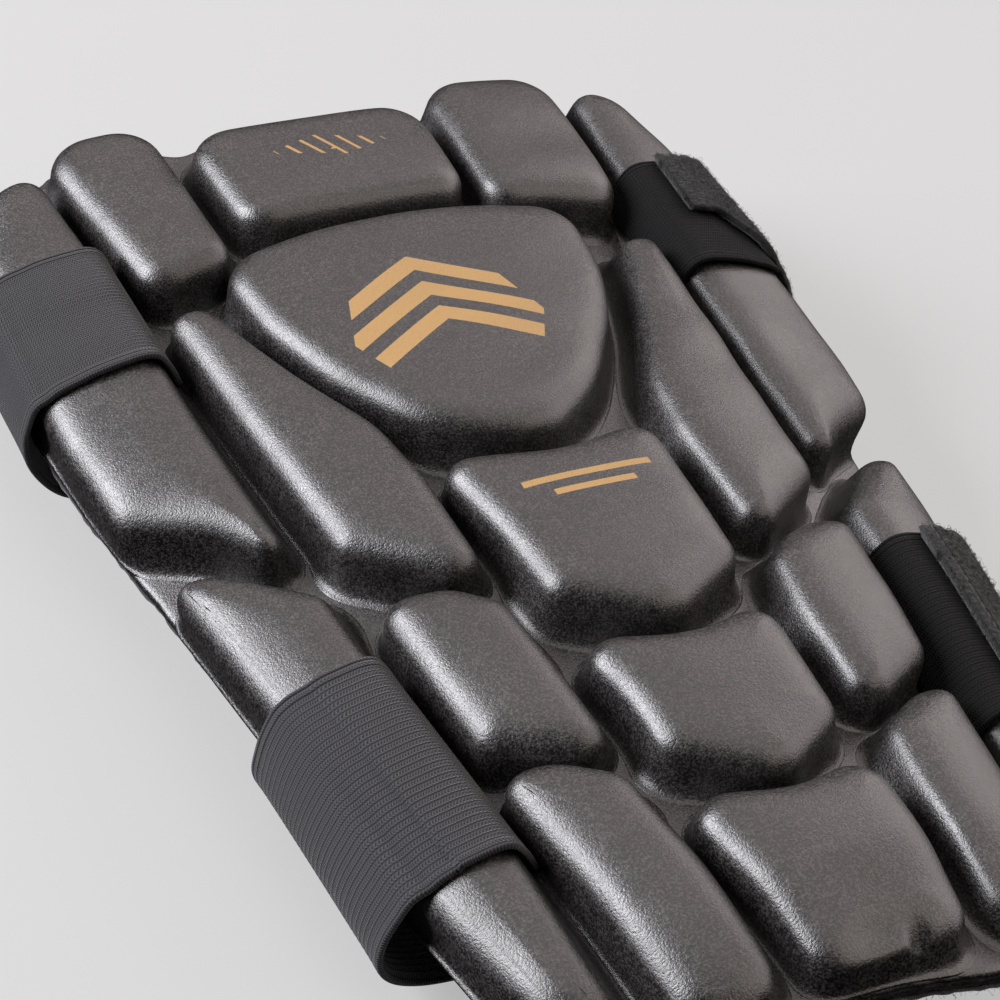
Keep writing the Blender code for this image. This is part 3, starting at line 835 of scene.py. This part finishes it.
@dataclass
class Pads:
    """The seventeen raised pads."""

    skin: Skin
    centre: dict[int, Sequence[Corner]] = field(default_factory=lambda: {
        1: ((-31.2, 77.5, 7), (20.6, 77.8, 7), (22.0, 112.5, 9), (-33.8, 112.3, 9)),
        2: ((0, -7.0, 12), (16.5, 5.0, 50), (31.4, 28.3, 60), (37.8, 45, 50), (40.2, 66.3, 9.5), (20, 69.8, 80),
            (0, 70.8, 90), (-20, 70.0, 80), (-42.4, 64.8, 9.5), (-39.6, 43, 50), (-34.2, 24.8, 60),
            (-20.3, -0.2, 50)),
        3: ((-1.0, -63.6, 6), (19.0, -51.4, 5), (19.9, -30, 100), (20.9, -9.9, 5), (0, -15.2, 30),
            (-24.3, -9.6, 4), (-20.2, -30, 60), (-18.8, -50.9, 5)),
        4: ((-0.6, -105.4, 6), (16.0, -95.0, 5), (16.4, -80, 100), (17.2, -66.0, 5), (0, -71.0, 30),
            (-20.6, -64.2, 4), (-16.9, -80, 60), (-16.7, -93.3, 5)),
        5: ((0, -145.6, 60), (13.2, -145.2, 5), (14.9, -130, 80), (16.1, -106.4, 5.5), (0, -111.2, 30),
            (-19.6, -105.0, 4.5), (-15.2, -130, 80), (-13.8, -145.4, 4.5)),
    })
    left: dict[str, Sequence[Corner]] = field(default_factory=lambda: {
        "inner_1": ((39.2, 68.2, 5.5), (57.2, 65.2, 6), (65.5, 119.6, 10), (42, 119.3, 9)),
        "inner_2": ((28.3, -43.0, 3.5), (49.4, -22.5, 4), (53.8, 20, 200), (57.0, 54, 3), (50.2, 54, 3),
                    (41.5, 28, 60), (31.5, 5, 30), (29.2, -10, 30)),
        "inner_3": ((25.6, -90.5, 3.5), (44.8, -78.3, 4), (46.6, -62, 200), (48.6, -39.3, 4),
                    (36, -42.2, 8), (29.2, -49, 4), (27.3, -64, 60)),
        "inner_4": ((22.8, -146, 6), (37.8, -145, 6), (40.5, -116, 200), (45.0, -86.6, 4),
                    (36, -88.0, 10), (27.0, -95.5, 5), (23.5, -118, 80)),
        "outer_1": ((58.8, -19.5, 2.5), (68.6, -5, 60), (84.4, 6.8, 6), (87.3, 30, 80), (88.7, 62, 150),
                    (87.0, 92, 40), (80, 109, 12), (70, 111.5, 5), (66.2, 78, 100), (62.6, 20, 200),
                    (60.4, -6, 60)),
        "outer_2": ((48.3, -138.6, 5), (57.6, -134, 8), (63.4, -111, 60), (66.6, -96, 80),
                    (74.2, -51, 100), (78.0, -28, 60), (80.2, -13.6, 4), (73.5, -15, 16), (57.4, -31.5, 4),
                    (56.2, -46, 60), (50, -102, 200)),
    })
    right: dict[str, Sequence[Corner]] = field(default_factory=lambda: {
        "inner_1": ((26.6, 74.2, 6), (56.8, 69.8, 7), (59.2, 94, 60), (59.4, 120.5, 9), (29.2, 120.3, 9)),
        "inner_2": ((28.9, -44.5, 3), (50.6, -28.5, 4), (54.4, 20, 200), (57.0, 54, 3), (50.2, 54, 3),
                    (41.5, 28, 60), (31.5, 5, 30), (29.2, -12, 30)),
        "inner_3": ((25.2, -93.5, 3.5), (44.8, -82.2, 4), (47.2, -64, 100), (49.0, -44.6, 5), (41, -45, 8),
                    (34.5, -47.8, 6), (28.2, -53.5, 4), (26.0, -68, 60)),
        "inner_4": ((22.8, -146, 6), (37.8, -145, 6), (40.4, -118, 200), (43.9, -92.2, 4),
                    (36.5, -93.6, 10), (26.0, -100.5, 5), (23.3, -120, 80)),
        "outer_1": ((59.4, -21.5, 3), (68.2, -12.4, 60), (84.8, -2.2, 6), (86.9, 14, 80), (86.7, 36, 80),
                    (84.6, 62, 150), (82.6, 90, 40), (77.5, 111.5, 14), (67.5, 115.2, 5), (64.6, 80, 100),
                    (61.4, 20, 200), (60.0, -8, 60)),
        "outer_2": ((48.3, -138.6, 5), (57.6, -134, 8), (63.4, -111, 60), (66.6, -96, 80),
                    (74.2, -53, 100), (77.0, -38, 60), (78.2, -21.5, 6), (72.5, -22.0, 14), (58.0, -37.0, 4),
                    (56.4, -50, 60), (50, -102, 200)),
    })
    dents: tuple[Dent, ...] = (
        Dent(-3.0, -143.0, 1.6, 6.0, 3.0, 10.0), Dent(3.5, -147.0, 3.2, 1.8, 3.6, 0.0),
        Dent(-1.0, -136.0, 0.7, 9.0, 6.0, 0.0),
    )

    def shapes(self) -> list[PadShape]:
        """Every pad's shape.

        Returns:
            The shapes, the left side's tables turned over to their own side.
        """
        plain = FoamFinish("pad_foam")
        gilt = {
            "pad_centre_1": FoamFinish("pad_foam_lattice", Print.LATTICE, (-5.0, 97.0)),
            "pad_centre_2": FoamFinish("pad_foam_chevrons", Print.CHEVRONS, (-6.0, 40.0)),
            "pad_centre_3": FoamFinish("pad_foam_bars", Print.BARS, (0.0, -27.0)),
        }
        tables = {f"pad_centre_{number}": corners for number, corners in self.centre.items()}
        for place, corners in self.right.items():
            rank, number = place.split("_")
            tables[f"pad_{rank}_{Side.RIGHT.value}_{number}"] = corners
        for place, corners in self.left.items():
            rank, number = place.split("_")
            tables[f"pad_{rank}_{Side.LEFT.value}_{number}"] = [(-a, b, r) for a, b, r in reversed(corners)]
        return [PadShape(name, corners, gilt.get(name, plain)) for name, corners in tables.items()]

    def build(self) -> None:
        """Make every pad."""
        shapes = self.shapes()
        for shape in shapes:
            shape.build(self.skin, [other for other in shapes if other is not shape], self.dents)


@dataclass
class Shell:
    """The foam panel and the cloth lining on its back."""

    skin: Skin
    spacing: float = 1.3
    soften: float = 2.0
    rings: int = 70
    wrist_reach: float = 12.0
    cut_share: float = 0.9
    panel_edge: tuple[tuple[float, float], ...] = (
        (-2.0, 0.0), (-1.1, -0.05), (-0.5, -0.25), (-0.12, -0.6), (0.0, -1.0), (-0.28, -1.22), (-0.02, -1.4),
        (0.1, -1.9), (0.05, -2.3), (-0.3, -2.45), (0.0, -2.62), (0.05, -3.1), (-0.3, -3.45), (-2.0, -3.5))
    lining_edge: tuple[tuple[float, float], ...] = (
        (-2.0, -3.5), (-0.2, -3.52), (0.25, -3.7), (0.35, -4.0), (0.15, -4.35), (-0.6, -4.5), (-2.0, -4.5))

    def rim(self) -> Array:
        """The rim at an even spacing: up the right side, across the elbow, down the left, and back.

        Returns:
            Points (n, 2), anticlockwise.
        """
        skin = self.skin
        share = np.linspace(0.0, 1.0, 500)
        station = np.linspace(skin.wrist, skin.elbow, 500)
        width = skin.half_width(station)
        low, high = skin.wrist_end(width), skin.elbow_end(width)
        right = np.stack([width, low + share * (high - low)], 1)
        low_left = skin.wrist_end(-width)
        left = np.stack([-width, low_left + share * (high - low_left)], 1)[::-1]
        top = np.linspace(width[-1], -width[-1], 300)
        bottom = np.linspace(-width[0], width[0], 300)
        path = np.concatenate([right, np.stack([top, skin.elbow_end(top)], 1)[1:-1], left,
                               np.stack([bottom, skin.wrist_end(bottom)], 1)[1:-1], right[:1]])
        lengths = run_length(path)
        even = np.arange(0.0, lengths[-1] - self.spacing / 2, self.spacing)
        points = np.stack([np.interp(even, lengths, path[:, axis]) for axis in (0, 1)], 1)
        return soften_loop(points, self.spacing, self.soften)

    def layer(self, name: str, edge: Sequence[tuple[float, float]], rough_edge: float) -> bpy.types.Object:
        """One layer: its upper face, the table's edge round the rim, and its lower face.

        Args:
            name: the piece's name.
            edge: distance out of the rim and lift, from the upper face to the lower.
            rough_edge: how uneven the trimmed edge is, in millimetres.
        Returns:
            The layer.
        """
        rim = self.rim()
        normal = loop_normals(rim)
        middle = np.array([0.0, (self.skin.elbow + self.skin.wrist) / 2])
        shares = np.linspace(0.0, 1.0, self.rings + 1)[1:-1, None, None]
        first = rim + normal * edge[0][0]
        upper = middle + (first - middle)[None] * shares
        steps = np.array(edge)
        ragged = rough_edge * ripple(rim[:, 0], rim[:, 1], 5.0, 3)
        torn = rough_edge * smooth((-130.0 - rim[:, 1]) / 10.0)
        ragged += torn * ripple(rim[:, 0], rim[:, 1], 3.0, 5)
        outer = steps[:, 0, None] + ragged[None] * (steps[:, 0, None] > -1.5)
        turn = rim[None] + normal[None] * outer[..., None]
        last = turn[-1]
        lower = middle + (last - middle)[None] * shares[::-3]
        plan = np.concatenate([upper, turn, lower])
        repeats = [len(upper)] + [1] * len(steps) + [len(lower)]
        lift = np.repeat([edge[0][1], *steps[:, 1], edge[-1][1]], repeats)
        lift = np.broadcast_to(lift[:, None], plan.shape[:2])
        points = self.skin.at(plan[..., 0], plan[..., 1], lift)
        closing = np.concatenate([plan, plan[:, :1]], 1)
        away = np.full(closing.shape[:2], 12.0)
        around = np.broadcast_to(np.arange(len(rim) + 1) * self.spacing, closing.shape[:2])
        charts = {"sheet": closing * MM, "edge": np.stack([around, away], -1) * MM}
        return make_mesh(name, points[::-1], True, charts)

    def wrist_faces(self, centres: Array, normals: Array) -> Array:
        """Faces of the lining's edge at the wrist end."""
        limit = (self.skin.wrist + self.skin.along_shift + self.wrist_reach) * MM
        return (centres[:, 1] < limit) & (normals[:, 2] > -0.6)

    def build(self) -> None:
        """Make the panel and the lining."""
        panel = self.layer("flex_panel_skin", self.panel_edge, 0.10)
        dress(panel, FoamFinish("moulded_foam").make(), ["flex_panel"])
        lining = self.layer("lining_cloth", self.lining_edge, 0.22)
        cloth = ClothFinish("lining_cloth", (0.030, 0.029, 0.030), (0.008, 0.008, 0.009), nap=0.7, depth=0.18,
                            sheen=0.3)
        dress(lining, cloth.make(), ["lining"])
        edge = Fuzz("wrist_edge_fibres", 1900, 0.7, 0.9, 0.055, 5).grow(lining, self.wrist_faces)
        dress(edge, cloth.make())
        size = (2 * float(self.skin.half_width(60.0)) * MM, (self.skin.elbow - self.skin.wrist) * MM)


@dataclass
class StrapRoute:
    """The course of one strap over the outer pads and round the back."""

    skin: Skin
    stations: tuple[float, float]
    inner: tuple[float, float]
    outer: tuple[float, float]
    fall: Sequence[tuple[float, float, float, float]]
    band_lift: float = 0.45
    groove: tuple[tuple[float, float], ...] = (
        (-3.0, -10.2), (-2.3, -6.0), (-1.25, -2.4), (-0.3, -0.75), (1.5, 0.2))
    crown: tuple[tuple[float, float], ...] = ((-8.0, 0.40), (-4.0, 0.05), (-1.6, -0.75))

    def blend(self, pair: tuple[float, float], share: Array) -> Array:
        """A value between the strap's two edges."""
        return pair[0] + share * (pair[1] - pair[0])

    def over_pad(self, share: Array, rise: float = 0.0) -> Array:
        """Points of a band's inner face from the groove over the outer pad.

        Args:
            share: shares of the strap's width (n,).
            rise: extra lift, in millimetres.
        Returns:
            (points of the course, n, 3) in metres.
        """
        along = self.blend(self.stations, share)
        top = self.skin.height(along) + rise
        low, high = self.blend(self.inner, share), self.blend(self.outer, share)
        dome = 0.4
        rows = [(low + a, top + b) for a, b in self.groove]
        rows.append((low + 4.6, top + self.band_lift + dome * 0.5))
        rows.append(((low + high) / 2, top + self.band_lift + dome))
        rows += [(high + a, top + b + dome * 0.3) for a, b in self.crown]
        return np.stack([self.skin.at(a, along, b) for a, b in rows])

    def down(self, share: Array) -> Array:
        """Points of the strap's inner face from the outer pad down to the ground.

        Args:
            share: shares of the strap's width (n,).
        Returns:
            (points of the course, n, 3) in metres.
        """
        along = self.blend(self.stations, share)
        return np.stack([self.skin.place(self.blend(row[:2], share), along, self.blend(row[2:], share))
                         for row in self.fall])


def along_course(course: Array, shares: Array) -> Array:
    """Points at shares of the way along smooth curves: cubic pieces through the course's points.

    Args:
        course: (points, strands, 3).
        shares: (steps,) from 0 to 1, the same for each strand.
    Returns:
        (steps, strands, 3).
    """
    middle = course[:, course.shape[1] // 2]
    knots = np.concatenate([[0.0], np.cumsum(np.sqrt(np.linalg.norm(np.diff(middle, axis=0), axis=1)))])
    slopes = np.gradient(course, knots, axis=0)
    where = shares * knots[-1]
    index = np.clip(np.searchsorted(knots, where) - 1, 0, len(course) - 2)
    span = (knots[index + 1] - knots[index])[:, None, None]
    t = ((where - knots[index])[:, None, None]) / span
    return cubic(t, span, (course[index], course[index + 1]), (slopes[index], slopes[index + 1]))


@dataclass
class Band:
    """A flat band: its cross-section is carried along a course, with ribs on its outer face."""

    name: str
    thickness: float
    width: float
    rib: float
    rib_depth: float
    step: float = 0.9
    selvedge: float = 2.2
    points_per_rib: int = 4
    curl: float = 0.25
    ragged: float = 0.0
    unevenness: float = 0.05
    samples: int = 600

    def section(self) -> tuple[Array, Array]:
        """The closed cross-section: shares of the width, and heights over the inner face.

        The outer face has ribs, each a half wave, between two smooth selvedges with a fine line.

        Returns:
            Shares and heights in millimetres, one for each point.
        """
        count = max(12, round(self.width / self.rib) * self.points_per_rib)
        face = np.linspace(0.0, 1.0, count + 1)
        from_edge = np.minimum(face, 1.0 - face) * self.width
        wave = np.abs(np.sin(math.pi * face * self.width / self.rib))
        ribs = (wave - 1.0) * self.rib_depth * smooth((from_edge - self.selvedge) / 0.4)
        line = 0.12 * np.exp(-((from_edge - self.selvedge * 0.5) / 0.25) ** 2)
        rounding = 0.5 * self.thickness * (1.0 - np.sqrt(1.0 - (1.0 - np.clip(from_edge / 0.7, 0, 1)) ** 2))
        outer = self.thickness + ribs - line - rounding + self.curl * np.exp(-from_edge / 2.5)
        back = np.linspace(1.0, 0.0, 25)
        inner = 0.4 * self.thickness * np.exp(-np.minimum(back, 1.0 - back) * self.width / 0.35)
        return np.concatenate([face, back]), np.concatenate([outer, inner])

    def build(self, course_of: Callable[[Array], Array],
              trim: Callable[[Array], tuple[Array, Array]] | None = None) -> tuple[bpy.types.Object, float]:
        """Make the band.

        Args:
            course_of: gives the course's points for shares of the width.
            trim: narrows the band: gives the low and high share for each step along it.
        Returns:
            The band and the length of its middle, in metres.
        """
        shares, lifts = self.section()
        strands = np.linspace(0.0, 1.0, 9)
        course = course_of(strands)
        middle = along_course(course, np.linspace(0.0, 1.0, self.samples))[:, 4]
        run = run_length(middle)
        steps = max(8, round(run[-1] / (self.step * MM)))
        at = np.interp(np.linspace(0.0, run[-1], steps + 1), run, np.linspace(0.0, 1.0, self.samples))
        base = along_course(course, at)
        forward = np.gradient(base, axis=0)
        sideways = np.gradient(base, axis=1)
        out = np.cross(sideways, forward)
        out /= np.linalg.norm(out, axis=-1, keepdims=True)
        low, high = (np.zeros(steps + 1), np.ones(steps + 1)) if trim is None else trim(at)
        where = low[:, None] + shares[None] * (high - low)[:, None]
        reached = at[:, None] * run[-1] / MM
        where = where + self.ragged / self.width * ripple(reached, shares[None] * 9, 4.0, 2)
        cell = np.clip(np.floor(where * 8).astype(int), 0, 7)
        part = (where * 8 - cell)[..., None]
        row = np.arange(steps + 1)[:, None]
        spots = base[row, cell] * (1 - part) + base[row, cell + 1] * part
        lean = out[row, cell] * (1 - part) + out[row, cell + 1] * part
        lean /= np.linalg.norm(lean, axis=-1, keepdims=True)
        unevenness = self.unevenness * ripple(reached, where * self.width, 26.0, 11)
        points = spots + lean * ((lifts[None] + unevenness) * MM)[..., None]
        length = np.linspace(0.0, run[-1], steps + 1)[:, None]
        seam = np.concatenate([where, where[:, :1]], 1) * self.width * MM
        chart = np.stack([np.broadcast_to(length, seam.shape), seam], -1)
        return make_mesh(self.name, points, True, {"weave": chart}), float(run[-1])


def tubes(name: str, paths: Array, radii: Array, sides: int = 3) -> bpy.types.Object:
    """Round threads along many paths at once, as one mesh.

    Each ring stands square to its path: its two axes come from the path's heading and a fixed lean.

    Args:
        name: the piece's name.
        paths: (threads, points, 3) in metres.
        radii: (threads, points) in metres.
        sides: sides of the round.
    Returns:
        The threads.
    """
    heading = np.gradient(paths, axis=1)
    heading /= np.linalg.norm(heading, axis=-1, keepdims=True) + 1e-12
    aside = np.cross(heading, np.array([0.31, 0.52, 0.79]))
    aside /= np.linalg.norm(aside, axis=-1, keepdims=True) + 1e-12
    over = np.cross(heading, aside)
    turn = np.arange(sides) * math.tau / sides
    ring = aside[..., None, :] * np.cos(turn)[:, None] + over[..., None, :] * np.sin(turn)[:, None]
    points = paths[:, :, None] + ring * radii[..., None, None]
    count, steps = paths.shape[:2]
    quads, _ = grid_faces(steps, sides, True)
    ends = np.stack([np.arange(sides)[::-1], np.arange(sides) + (steps - 1) * sides])
    base = (np.arange(count) * steps * sides)[:, None]
    faces = [(base + quads.ravel()).reshape(-1, 4), (base + ends.ravel()).reshape(-1, sides)]
    loops = np.concatenate([part.ravel() for part in faces])
    sizes = np.concatenate([np.full(len(part), part.shape[1]) for part in faces])
    return fill_mesh(name, points.reshape(-1, 3), loops, sizes)


@dataclass
class Fuzz:
    """Small curled fibres that stand on a piece's faces."""

    name: str
    count: int
    height: float
    spread: float
    thickness: float
    seed: int
    steps: int = 5
    sunk: float = 0.15

    def grow(self, carrier: bpy.types.Object, keep: Callable[[Array, Array], Array]) -> bpy.types.Object:
        """Grow the fibres.

        Each is half a wave: it rises off its root by a sine, drifts aside by a share of its spread
        and wavers by two random sines.

        Args:
            carrier: the piece that the fibres stand on.
            keep: picks its faces by their middles and normals.
        Returns:
            The fibres as one piece.
        """
        rng = np.random.default_rng(self.seed)
        mesh = carrier.data
        faces = len(mesh.polygons)
        centres, normals, areas = np.empty(faces * 3), np.empty(faces * 3), np.empty(faces)
        mesh.polygons.foreach_get("center", centres)
        mesh.polygons.foreach_get("normal", normals)
        mesh.polygons.foreach_get("area", areas)
        centres, normals = centres.reshape(-1, 3), normals.reshape(-1, 3)
        share = areas * keep(centres, normals)
        picked = rng.choice(faces, self.count, p=share / share.sum())
        root, up = centres[picked], normals[picked]
        drift = rng.normal(size=(self.count, 3))
        drift -= (drift * up).sum(1, keepdims=True) * up
        drift /= np.linalg.norm(drift, axis=1, keepdims=True)
        other = np.cross(up, drift)
        root = root + (drift + other) * rng.uniform(-0.4, 0.4, (self.count, 1)) * MM
        t = np.linspace(0.0, 1.0, self.steps)[None, :, None]
        tall = self.height * MM * rng.gamma(3.0, 0.33, (self.count, 1, 1))
        wide = self.spread * MM * rng.uniform(0.2, 1.2, (self.count, 1, 1))
        bend = rng.uniform(1.4, 3.2, (self.count, 1, 1))
        phase = rng.uniform(0.0, math.tau, (self.count, 1, 1))
        waver = np.sin(4.2 * t + phase) - np.sin(phase)
        paths = (root[:, None] - up[:, None] * self.sunk * MM + up[:, None] * tall * np.sin(bend * t)
                 + drift[:, None] * wide * t + other[:, None] * wide * 0.5 * waver)
        radii = np.full(paths.shape[:2], self.thickness * 0.5 * MM)
        return tubes(self.name, paths, radii)


@dataclass
class Straps:
    """Both elastic straps, with their anchor bands and closure tabs."""

    skin: Skin
    thickness: float = 1.6
    tab_thickness: float = 1.9
    clearance: float = 0.45
    rib_depth: float = 0.30
    anchor_rib_depth: float = 0.2
    fibres: int = 4200
    widths: dict[Level, float] = field(default_factory=lambda: {Level.UPPER: 38.0, Level.LOWER: 50.0})
    ribs: dict[Level, float] = field(default_factory=lambda: {Level.UPPER: 1.1, Level.LOWER: 1.5})
    cuts: dict[Level, tuple[Sequence[float], Sequence[float]]] = field(default_factory=lambda: {
        Level.UPPER: ((0.0, 0.3, 0.55, 0.75, 1.0), (0.0, 0.04, 0.22, 0.42, 0.46)),
        Level.LOWER: ((0.0, 1.0), (0.0, 0.0))})
    threads: dict[Level, tuple[float, float, float]] = field(default_factory=lambda: {
        Level.UPPER: (0.004, 0.004, 0.004), Level.LOWER: (0.05, 0.045, 0.045)})
    yarns: dict[Level, tuple[float, float, float]] = field(default_factory=lambda: {
        Level.UPPER: (0.020, 0.0193, 0.023), Level.LOWER: (0.027, 0.026, 0.031)})

    @staticmethod
    def faces_out(centres: Array, normals: Array) -> Array:
        """Which faces of a tab lie on its outer side: those that look up or to the right."""
        return normals @ np.array([0.5, 0.0, 0.86]) > -0.35

    def route(self, level: Level, side: Side) -> StrapRoute:
        """The course of one strap on one side.

        Args:
            level: which strap.
            side: which side; the right outer pad is narrower under the upper strap.
        Returns:
            Its route, from the same sizes as the solids.
        """
        floor = self.skin.ground + self.thickness
        under = ((91.8, 92.6, -18.0, -17.6), (89.0, 89.7, -23.2, -23.0), (84.6, 85.2, -27.8, -27.7),
                 (78.0, 78.4, -30.4, -30.4), (69.0, 69.4, floor + 0.04, floor + 0.04),
                 (61.0, 61.0, floor, floor), (50.0, 50.0, floor, floor))
        if level is Level.UPPER and side is Side.RIGHT:
            return StrapRoute(self.skin, (42.0, 80.0), (62.8, 64.8), (86.1, 83.2), (
                (89.0, 86.4, -4.4, -1.6), (91.2, 89.6, -8.6, -6.0), (92.4, 92.0, -13.0, -12.0), *under))
        if level is Level.UPPER:
            return StrapRoute(self.skin, (42.0, 80.0), (64.2, 66.2), (87.9, 88.3), (
                (90.6, 90.8, -4.6, -1.2), (91.9, 92.4, -8.6, -6.2), (92.5, 93.2, -13.0, -12.2), *under))
        return StrapRoute(self.skin, (-101.6, -51.6), (50.1, 55.9), (65.5, 74.0), (
            (68.9, 75.7, -6.4, -6.4), (71.0, 77.0, -10.2, -10.3), (72.9, 77.7, -14.8, -14.8),
            (73.5, 77.9, -19.4, -19.4), (72.6, 76.6, -23.0, -22.9), (69.8, 73.6, -26.6, -26.4),
            (64.4, 67.6, -29.4, -29.4), (57.0, 60.0, -30.7, -30.7), (49.0, 51.0, floor + 0.02, floor + 0.02),
            (41.0, 42.0, floor, floor), (32.0, 32.0, floor, floor)))

    def build(self) -> None:
        """Make both straps and what closes them."""
        for level in Level:
            self.build_level(level)

    def build_level(self, level: Level) -> None:
        """Make one strap, its anchor band and its tab.

        Args:
            level: which strap.
        """
        route, left = self.route(level, Side.RIGHT), self.route(level, Side.LEFT)
        width, rib = self.widths[level], self.ribs[level]
        flip = np.array([-1.0, 1.0, 1.0])
        seam = 2
        name = level.value

        def trim(at: Array) -> tuple[Array, Array]:
            """The tab's slanting cut: the low and high share of the width at each step."""
            return np.interp(at, *self.cuts[level]), np.ones(len(at))

        def strap_course(share: Array) -> Array:
            """The strap's inner face, from the left groove round the back to its right end."""
            return np.concatenate([left.over_pad(share) * flip, left.down(share) * flip,
                                   route.down(share)[seam:][::-1]])

        def anchor_course(share: Array) -> Array:
            """The anchor band's inner face over the right pad."""
            return route.over_pad(share)[::-1]

        def tab_course(share: Array) -> Array:
            """The tab's inner face, from the strap's end up over the anchor band."""
            over = route.over_pad(share, self.thickness + self.clearance)
            down = route.down(share)
            end = down[seam] + np.array([0.0, 0.0, 0.3 * MM])
            return np.concatenate([end[None], down[:seam][::-1], over[5:][::-1]])

        yarn = self.yarns[level]
        grey = ElasticFinish(f"elastic_grey_{name}", yarn, (0.0015, 0.0015, 0.002), rib)
        black = ElasticFinish(f"elastic_black_{name}", (0.0028, 0.0026, 0.0030), (0.0008, 0.0008, 0.0008),
                              rib, sheen=0.01, gloss=0.12)
        band = Band(f"strap_{name}_elastic", self.thickness, width, rib, self.rib_depth)
        strap, length = band.build(strap_course)
        dress(strap, grey.make(), [f"strap_{name}"])
        band = Band(f"anchor_band_{name}_elastic", self.thickness, width, rib, self.anchor_rib_depth)
        anchor, length = band.build(anchor_course)
        dress(anchor, black.make(), [f"anchor_band_{name}"])
        band = Band(f"closure_tab_{name}_pile", self.tab_thickness, width, 2.0, 0.1, ragged=0.5, curl=0.0)
        tab, length = band.build(tab_course, trim)
        seam_at = length / MM - 2.4 if level is Level.LOWER else 0.0
        tones = (0.0042, 0.0041, 0.0045), (0.0008, 0.0008, 0.0008)
        pile = ClothFinish(f"loop_pile_{name}", *tones, nap=0.6, depth=0.35, sheen=0.12, seam=seam_at,
                           thread=self.threads[level])
        dress(tab, pile.make(), [f"closure_tab_{name}"])
        fuzz = Fuzz(f"closure_tab_{name}_loops", self.fibres, 0.42, 0.9, 0.066, 3).grow(tab, self.faces_out)
        fibre = ClothFinish(f"loop_fibre_{name}", *tones, nap=0.6, depth=0.2, sheen=0.12)
        dress(fuzz, fibre.make())


@dataclass
class Studio:
    """Camera, pale floor and soft lights."""

    skin: Skin
    spot: tuple[float, float, float] = (-218.3, -343.7, 325.0)
    right: tuple[float, float, float] = (0.8948, -0.4254, 0.1352)
    up: tuple[float, float, float] = (0.1856, 0.6301, 0.7540)
    lens: float = 90.0
    floor_size: float = 6.0
    floor_glow: float = 0.45

    def camera(self) -> None:
        """Set the camera by its place and its right and up directions."""
        data = bpy.data.cameras.new("camera")
        data.lens, data.sensor_width, data.clip_start = self.lens, 36.0, 0.02
        thing = bpy.data.objects.new("camera", data)
        bpy.context.scene.collection.objects.link(thing)
        right, up = Vector(self.right).normalized(), Vector(self.up)
        back = right.cross(up).normalized()
        up = back.cross(right)
        place = self.skin.place(self.spot[0], self.spot[1], self.spot[2])
        matrix = Matrix((right, up, back)).transposed().to_4x4()
        matrix.translation = Vector(place)
        thing.matrix_world = matrix
        bpy.context.scene.camera = thing

    def floor(self) -> None:
        """A wide pale floor just under the straps, with a plain matt finish."""
        half, low = self.floor_size / 2, -0.0004
        corners = np.array([[(-half, -half, low), (half, -half, low)],
                            [(-half, half, low), (half, half, low)]])
        thing = make_mesh("floor", corners, False, {}, caps=False)
        graph = Graph("floor")
        graph.finish({}, {"Base Color": (0.13, 0.13, 0.13, 1.0), "Roughness": 1.0, "Specular IOR Level": 0.0,
                          "Emission Color": (1.0, 1.0, 1.0, 1.0), "Emission Strength": self.floor_glow})
        thing.data.materials.append(graph.material)
        thing.visible_glossy = False

    def light(self, name: str, azimuth: float, elevation: float, distance: float,
              size: tuple[float, float], glow: float, colour: tuple[float, float, float]) -> None:
        """A soft panel of light that faces the guard.

        Args:
            name: the light's name.
            azimuth: bearing in degrees, 0 in front of the wrist end, growing to the right.
            elevation: degrees above the floor.
            distance: metres from the guard.
            size: width and height in metres.
            glow: brightness of the panel's face.
            colour: tint.
        """
        data = bpy.data.lights.new(name, "AREA")
        data.shape, data.size, data.size_y = "RECTANGLE", size[0], size[1]
        data.energy, data.color = glow * 4.0 * size[0] * size[1], colour
        thing = bpy.data.objects.new(name, data)
        bpy.context.scene.collection.objects.link(thing)
        bearing, rise = math.radians(azimuth), math.radians(elevation)
        flat = math.cos(rise)
        away = Vector((math.sin(bearing) * flat, -math.cos(bearing) * flat, math.sin(rise)))
        thing.location = away * distance
        thing.rotation_euler = away.to_track_quat("Z", "Y").to_euler()

    def build(self) -> None:
        """Set the whole studio."""
        self.camera()
        self.floor()
        self.light("left_panel", -118.0, 28.0, 1.6, (1.0, 0.8), 21.0, (0.95, 0.95, 1.0))
        self.light("back_panel", 156.0, 40.0, 1.8, (2.3, 1.6), 1.0, (1.0, 0.90, 0.88))
        self.light("right_panel", 98.0, 24.0, 1.8, (2.3, 1.5), 2.1, (1.0, 0.91, 0.90))
        self.light("top_panel", -180.0, 80.0, 1.7, (1.5, 1.5), 1.3, (1.0, 0.93, 0.90))
        self.light("front_panel", 42.0, 54.0, 1.7, (1.5, 1.1), 1.8, (1.0, 0.90, 0.82))
        world = bpy.data.worlds.new("studio")
        world.use_nodes = True
        world.node_tree.nodes["Background"].inputs[0].default_value = (0.9, 0.92, 1.0, 1.0)
        world.node_tree.nodes["Background"].inputs[1].default_value = 0.01
        bpy.context.scene.world = world
        bpy.context.scene.view_settings.view_transform = "Standard"


def main() -> None:
    """Build every sub-assembly in order."""
    logging.basicConfig(level=logging.INFO, format="%(message)s")
    skin = Skin()
    Studio(skin).build()
    Shell(skin).build()
    Pads(skin).build()
    Straps(skin).build()


if __name__ == "__main__":
    main()
